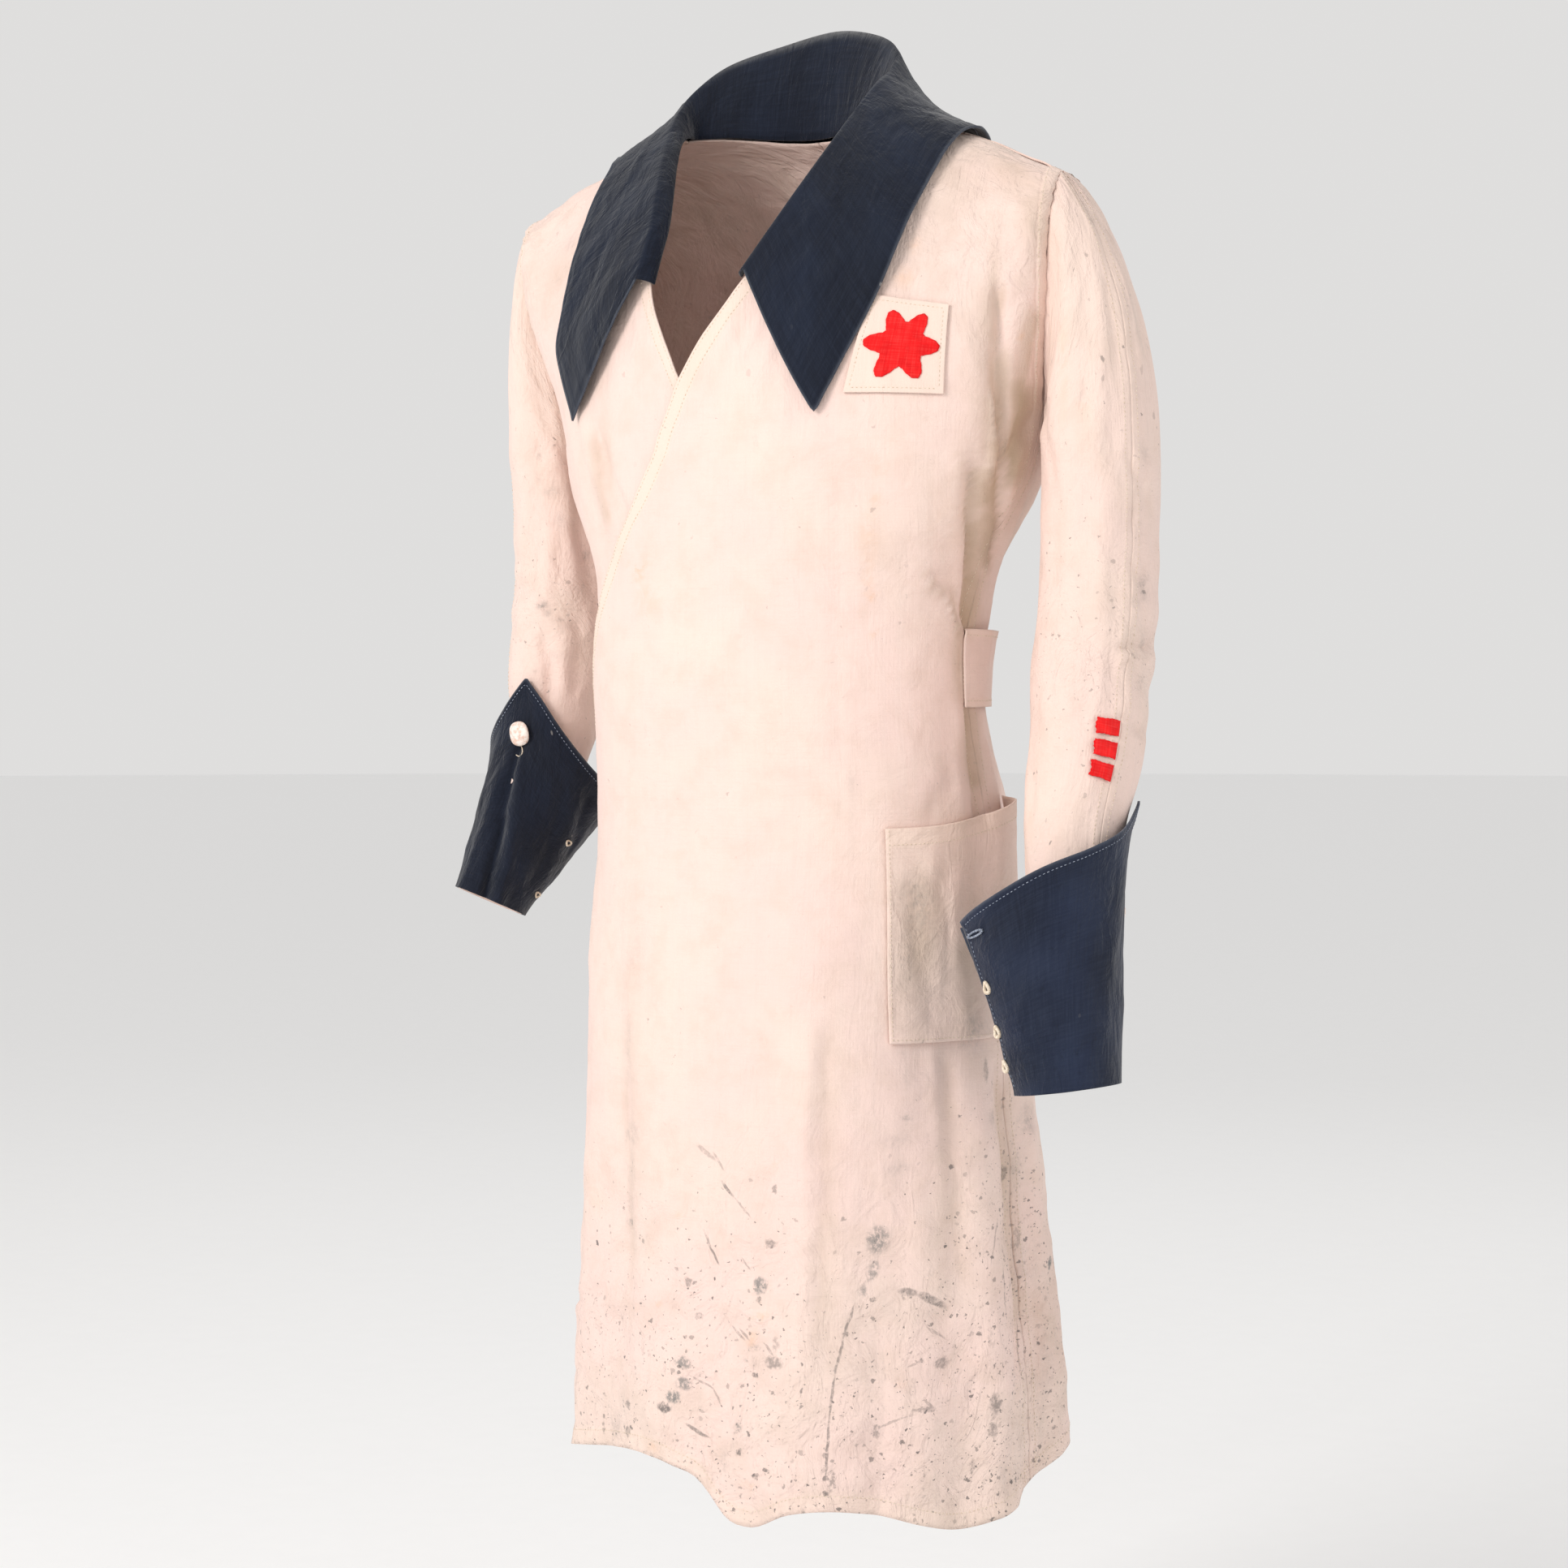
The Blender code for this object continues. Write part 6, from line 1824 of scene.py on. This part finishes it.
def set_studio():
    world = bpy.data.worlds.new("studio")
    bpy.context.scene.world = world
    world.use_nodes = True
    ground = world.node_tree.nodes["Background"]
    ground.inputs["Color"].default_value = (1.0, 0.99, 0.98, 1.0)
    ground.inputs["Strength"].default_value = 0.74
    soft_light("key", -14.0, 0.9, 3.0, (1.1, 1.3), 60.0, (1.0, 0.97, 0.94), (0.0, 0.0, -0.4))
    soft_light("fill", 78.0, 0.2, 3.2, (2.0, 2.2), 14.0, (1.0, 0.98, 0.96), (0.0, 0.0, -0.5))
    soft_light("back", 200.0, 1.6, 3.0, (2.0, 1.4), 8.0, (1.0, 1.0, 1.0), (0.0, 0.0, -0.2))
    steps = 64
    points = [(0.0, 0.0, FLOOR_Z)]
    for radius in (1.5, 6.0, 30.0):
        for step in range(steps):
            turn = math.tau * step / steps
            points.append((radius * math.cos(turn), radius * math.sin(turn), FLOOR_Z))
    faces = [(0, 1 + step, 1 + (step + 1) % steps) for step in range(steps)]
    for ring in range(2):
        for step in range(steps):
            near = (step + 1) % steps
            base = 1 + ring * steps
            faces.append((base + step, base + steps + step, base + steps + near, base + near))
    mesh = bpy.data.meshes.new("studio_floor")
    mesh.from_pydata(points, [], faces)
    mesh.update()
    floor = bpy.data.objects.new("studio_floor", mesh)
    bpy.context.scene.collection.objects.link(floor)
    mesh.materials.append(backdrop_floor("studio_floor"))


def hard_marks(blots, streaks, to_place, least):
    # Small sharp blots and the streaks, as ovals on the cloth: place, half sizes, strength, turn
    marks = []
    for row in blots:
        if row[4] >= least and not is_soft(row) and not is_broad(row):
            marks.append((to_place(row[0], row[1]), *row[2:], 0.0))
    for first_a, first_b, last_a, last_b, width, strength in streaks:
        if strength >= least - 0.15:
            start = to_place(first_a, first_b)
            end = to_place(last_a, last_b)
            line = end - start
            half = 500.0 * float(np.linalg.norm(line))
            marks.append((0.5 * (start + end), half, max(width, 0.7), strength, math.atan2(line[1], line[0])))
    return marks


def half_of(line, above):
    # The part of a stitch line above or below the armpit
    spots, ways = line
    keep = spots[:, 2] > ARMPIT_Z + 0.004 if above else spots[:, 2] < ARMPIT_Z - 0.004
    return spots[keep], ways[keep]


def cloth_cut(piece):
    # Width and length of a piece laid flat, and its area, from its own threads
    across = np.linalg.norm(np.diff(piece.grid, axis=1), axis=2).sum(axis=1)
    along = np.linalg.norm(np.diff(piece.grid, axis=0), axis=2).sum(axis=0)
    first = piece.grid[1:, :-1] - piece.grid[:-1, :-1]
    second = piece.grid[:-1, 1:] - piece.grid[:-1, :-1]
    area = float(np.linalg.norm(np.cross(first, second), axis=-1).sum())
    return round(float(across.max()), 3), round(float(along.max()), 3), area


def lay_out(piece, finish, thickness, node, rests_on):
    item = make_cloth(piece, finish, thickness, node)
    wide, long, area = cloth_cut(piece)
    return item


place_camera()
set_studio()

# What was noted on the photo, as places on the cloth
front_seen = seen_body()
left_arm_seen = seen_sleeve(LEFT_ARM, 1.0, -60.0, 130.0)
right_arm_seen = seen_sleeve(RIGHT_ARM, -1.0, -90.0, 90.0)
DIRT_AND_SHADE_BLOTS = marks_at(front_seen, NOTED_DIRT_AND_SHADE_BLOTS)
RUST_SPOTS = marks_at(front_seen, NOTED_RUST_SPOTS)
DIRT_STREAKS = creases_at(front_seen, NOTED_DIRT_STREAKS)
BODY_CREASES = (*creases_at(front_seen, NOTED_BODY_CREASES), *ARMHOLE_CREASES)
LEFT_SLEEVE_CREASES = (*creases_at(left_arm_seen, NOTED_LEFT_SLEEVE_CREASES), *ELBOW_TUCKS)
RIGHT_SLEEVE_CREASES = creases_at(right_arm_seen, NOTED_RIGHT_SLEEVE_CREASES)
LEFT_SLEEVE_DIRT_AND_SHADE = marks_at(left_arm_seen, NOTED_LEFT_SLEEVE_DIRT_AND_SHADE)
LEFT_SLEEVE_RUST = marks_at(left_arm_seen, NOTED_LEFT_SLEEVE_RUST)
RIGHT_SLEEVE_DIRT = marks_at(right_arm_seen, NOTED_RIGHT_SLEEVE_DIRT)

FRONT_MARKS = hard_marks(DIRT_AND_SHADE_BLOTS, DIRT_STREAKS, cloth_place, HARD_MARK_LEAST)
front_white = white_cotton("white_cotton_front", FRONT_MARKS)
plain_white = white_cotton("white_cotton_plain", ())
sleeve_white = white_cotton("white_cotton_sleeve", (), 0.7)
patch_white = white_cotton("white_cotton_patch", (), 0.3)
deep_navy = navy_cotton("navy_cotton_deep", NAVY_BASE, NAVY_LIGHT)
faded_navy = navy_cotton("navy_cotton_faded", NAVY_FADED, NAVY_FADED_LIGHT, faded=0.15)
plain_red = red_cotton("red_cotton")
cream_thread = thread_finish("cream_thread", THREAD_CREAM, THREAD_TAN)
blue_thread = thread_finish("blue_thread", THREAD_BLUE, THREAD_SLATE)
button_finish = covered_button("covered_button")

left, right, back_left, back_right = build_body()
for panel_piece, finish, node, beside in (
        (left, front_white, "front_left", ("front_right", "back_left")),
        (right, plain_white, "front_right", ("back_right",)),
        (back_left, plain_white, "back_left", ("front_left", "back_right")),
        (back_right, plain_white, "back_right", ("front_right", "back_left"))):
    lay_out(panel_piece, finish, BODY_WALL, node, beside)

left_sleeve = build_sleeve("left", LEFT_ARM, 1.0, LEFT_SLEEVE_CREASES, LEFT_SLEEVE_DIRT_AND_SHADE, LEFT_SLEEVE_RUST)
right_sleeve = build_sleeve("right", RIGHT_ARM, -1.0, RIGHT_SLEEVE_CREASES, RIGHT_SLEEVE_DIRT, ())
for side_name, halves in (("left", left_sleeve), ("right", right_sleeve)):
    for part, half in zip(("front", "back"), halves):
        node = "sleeve_" + side_name + "_" + part
        lay_out(half, sleeve_white, BODY_WALL, node, ("front_" + side_name,))

left_cuff = build_cuff("left", LEFT_ARM, LEFT_CUFF_ROWS, LEFT_CUFF_APEX, LEFT_CUFF_CREASES)
right_cuff = build_cuff("right", RIGHT_ARM, RIGHT_CUFF_ROWS, RIGHT_CUFF_APEX, RIGHT_CUFF_CREASES)
lay_out(left_cuff, faded_navy, NAVY_WALL, "cuff_left", ("sleeve_left_front",))
lay_out(right_cuff, deep_navy, NAVY_WALL, "cuff_right", ("sleeve_right_front",))

collar = build_collar()
lay_out(collar, deep_navy, NAVY_WALL, "collar", ("front_left", "front_right"))
belt = build_belt()
lay_out(belt, plain_white, BODY_WALL, "belt", ("back_left", "back_right"))
pocket = build_pocket()
lay_out(pocket, plain_white, BODY_WALL, "pocket", ("front_left",))
patch = build_patch()
lay_out(patch, patch_white, PATCH_WALL, "breast_patch", ("front_left",))
for number, bar in enumerate(build_bars(), start=1):
    node = "service_bar_%d" % number
    lay_out(bar, plain_red, BAR_WALL, node, ("sleeve_left_front",))
rosette = sewn_rosette(patch, plain_red)

# Buttons: a covered dome on the right cuff, and its fellow on the left one
for side_name, cuff, off in (("left", left_cuff, LEFT_BUTTON_OFF), ("right", right_cuff, RIGHT_BUTTON_OFF)):
    name = "cuff_button_" + side_name
    dome = dome_button(name + "_dome", cuff, off, button_finish)
    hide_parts(name)
spot, out, up = cuff_frame(right_cuff, BUTTON_PLACE - 0.085, 2.0)
thread_loop("button_thread", spot, up, out, (0.0045, 0.0042), cream_thread, 2.0)
hole = worked_buttonhole("left_cuff_buttonhole", left_cuff, 0.88, -164.0, 0.016, blue_thread)
for number, (level, off) in enumerate(((0.61, -167.0), (0.37, -170.0), (0.19, -170.0)), start=1):
    spot, out, up = cuff_frame(left_cuff, level, off)
    name = "cuff_fastening_%d" % number
    loop = thread_loop(name, spot, up, out, (0.0026, 0.0036), cream_thread, 1.0, 0.0013)
for number, (level, off) in enumerate(((0.56, 105.0), (0.16, 112.0)), start=1):
    spot, out, up = cuff_frame(right_cuff, level, off)
    loop = thread_loop("cuff_tack_%d" % number, spot, up, out, (0.0036, 0.0020), cream_thread, 1.0, 0.0008)

# Topstitching
white_lines = []
for piece, free in ((left, "first"), (right, "last")):
    white_lines.append(piece.inset(free, 0.0022))
    white_lines.append(piece.inset(free, 0.0125 if free == "first" else 0.0092))
for piece, armhole in ((left, "last"), (right, "first"), (back_left, "first"), (back_right, "last")):
    white_lines.append(piece.inset("bottom", 0.0106))
    white_lines.append(half_of(piece.inset(armhole, 0.0086), True))
    white_lines.append(half_of(piece.inset(armhole, 0.0065), False))
for halves in (left_sleeve, right_sleeve):
    for piece, seam in zip(halves, ("last", "first")):
        white_lines.append(piece.inset(seam, 0.0055))
        white_lines.append(piece.inset("top", 0.0110))
for side in ("first", "last", "bottom"):
    white_lines.append(pocket.inset(side, 0.0025))
white_lines.append(pocket.inset("top", 0.0115))
for side in ("first", "last", "bottom", "top"):
    white_lines.append(patch.inset(side, 0.0035, (0.003, 0.003)))
for side in ("bottom", "top"):
    white_lines.append(belt.inset(side, 0.0045))
navy_lines = []
for piece in (left_cuff, right_cuff):
    for side in ("first", "last", "top"):
        navy_lines.append(piece.inset(side, 0.0050, (0.004, 0.004)))
collar_lines = [collar.inset("top", 0.0095, (0.0095, 0.0095))]
for side in ("first", "last"):
    spots, ways = collar.inset(side, 0.0095)
    collar_lines.append((spots[STITCH_START:-3], ways[STITCH_START:-3]))
make_threads("body_topstitch", white_lines, cream_thread)
make_threads("cuff_topstitch", navy_lines, blue_thread)
collar_stitch = make_threads("collar_topstitch", collar_lines, blue_thread, 0.0026, 0.0020, lift=0.00040)
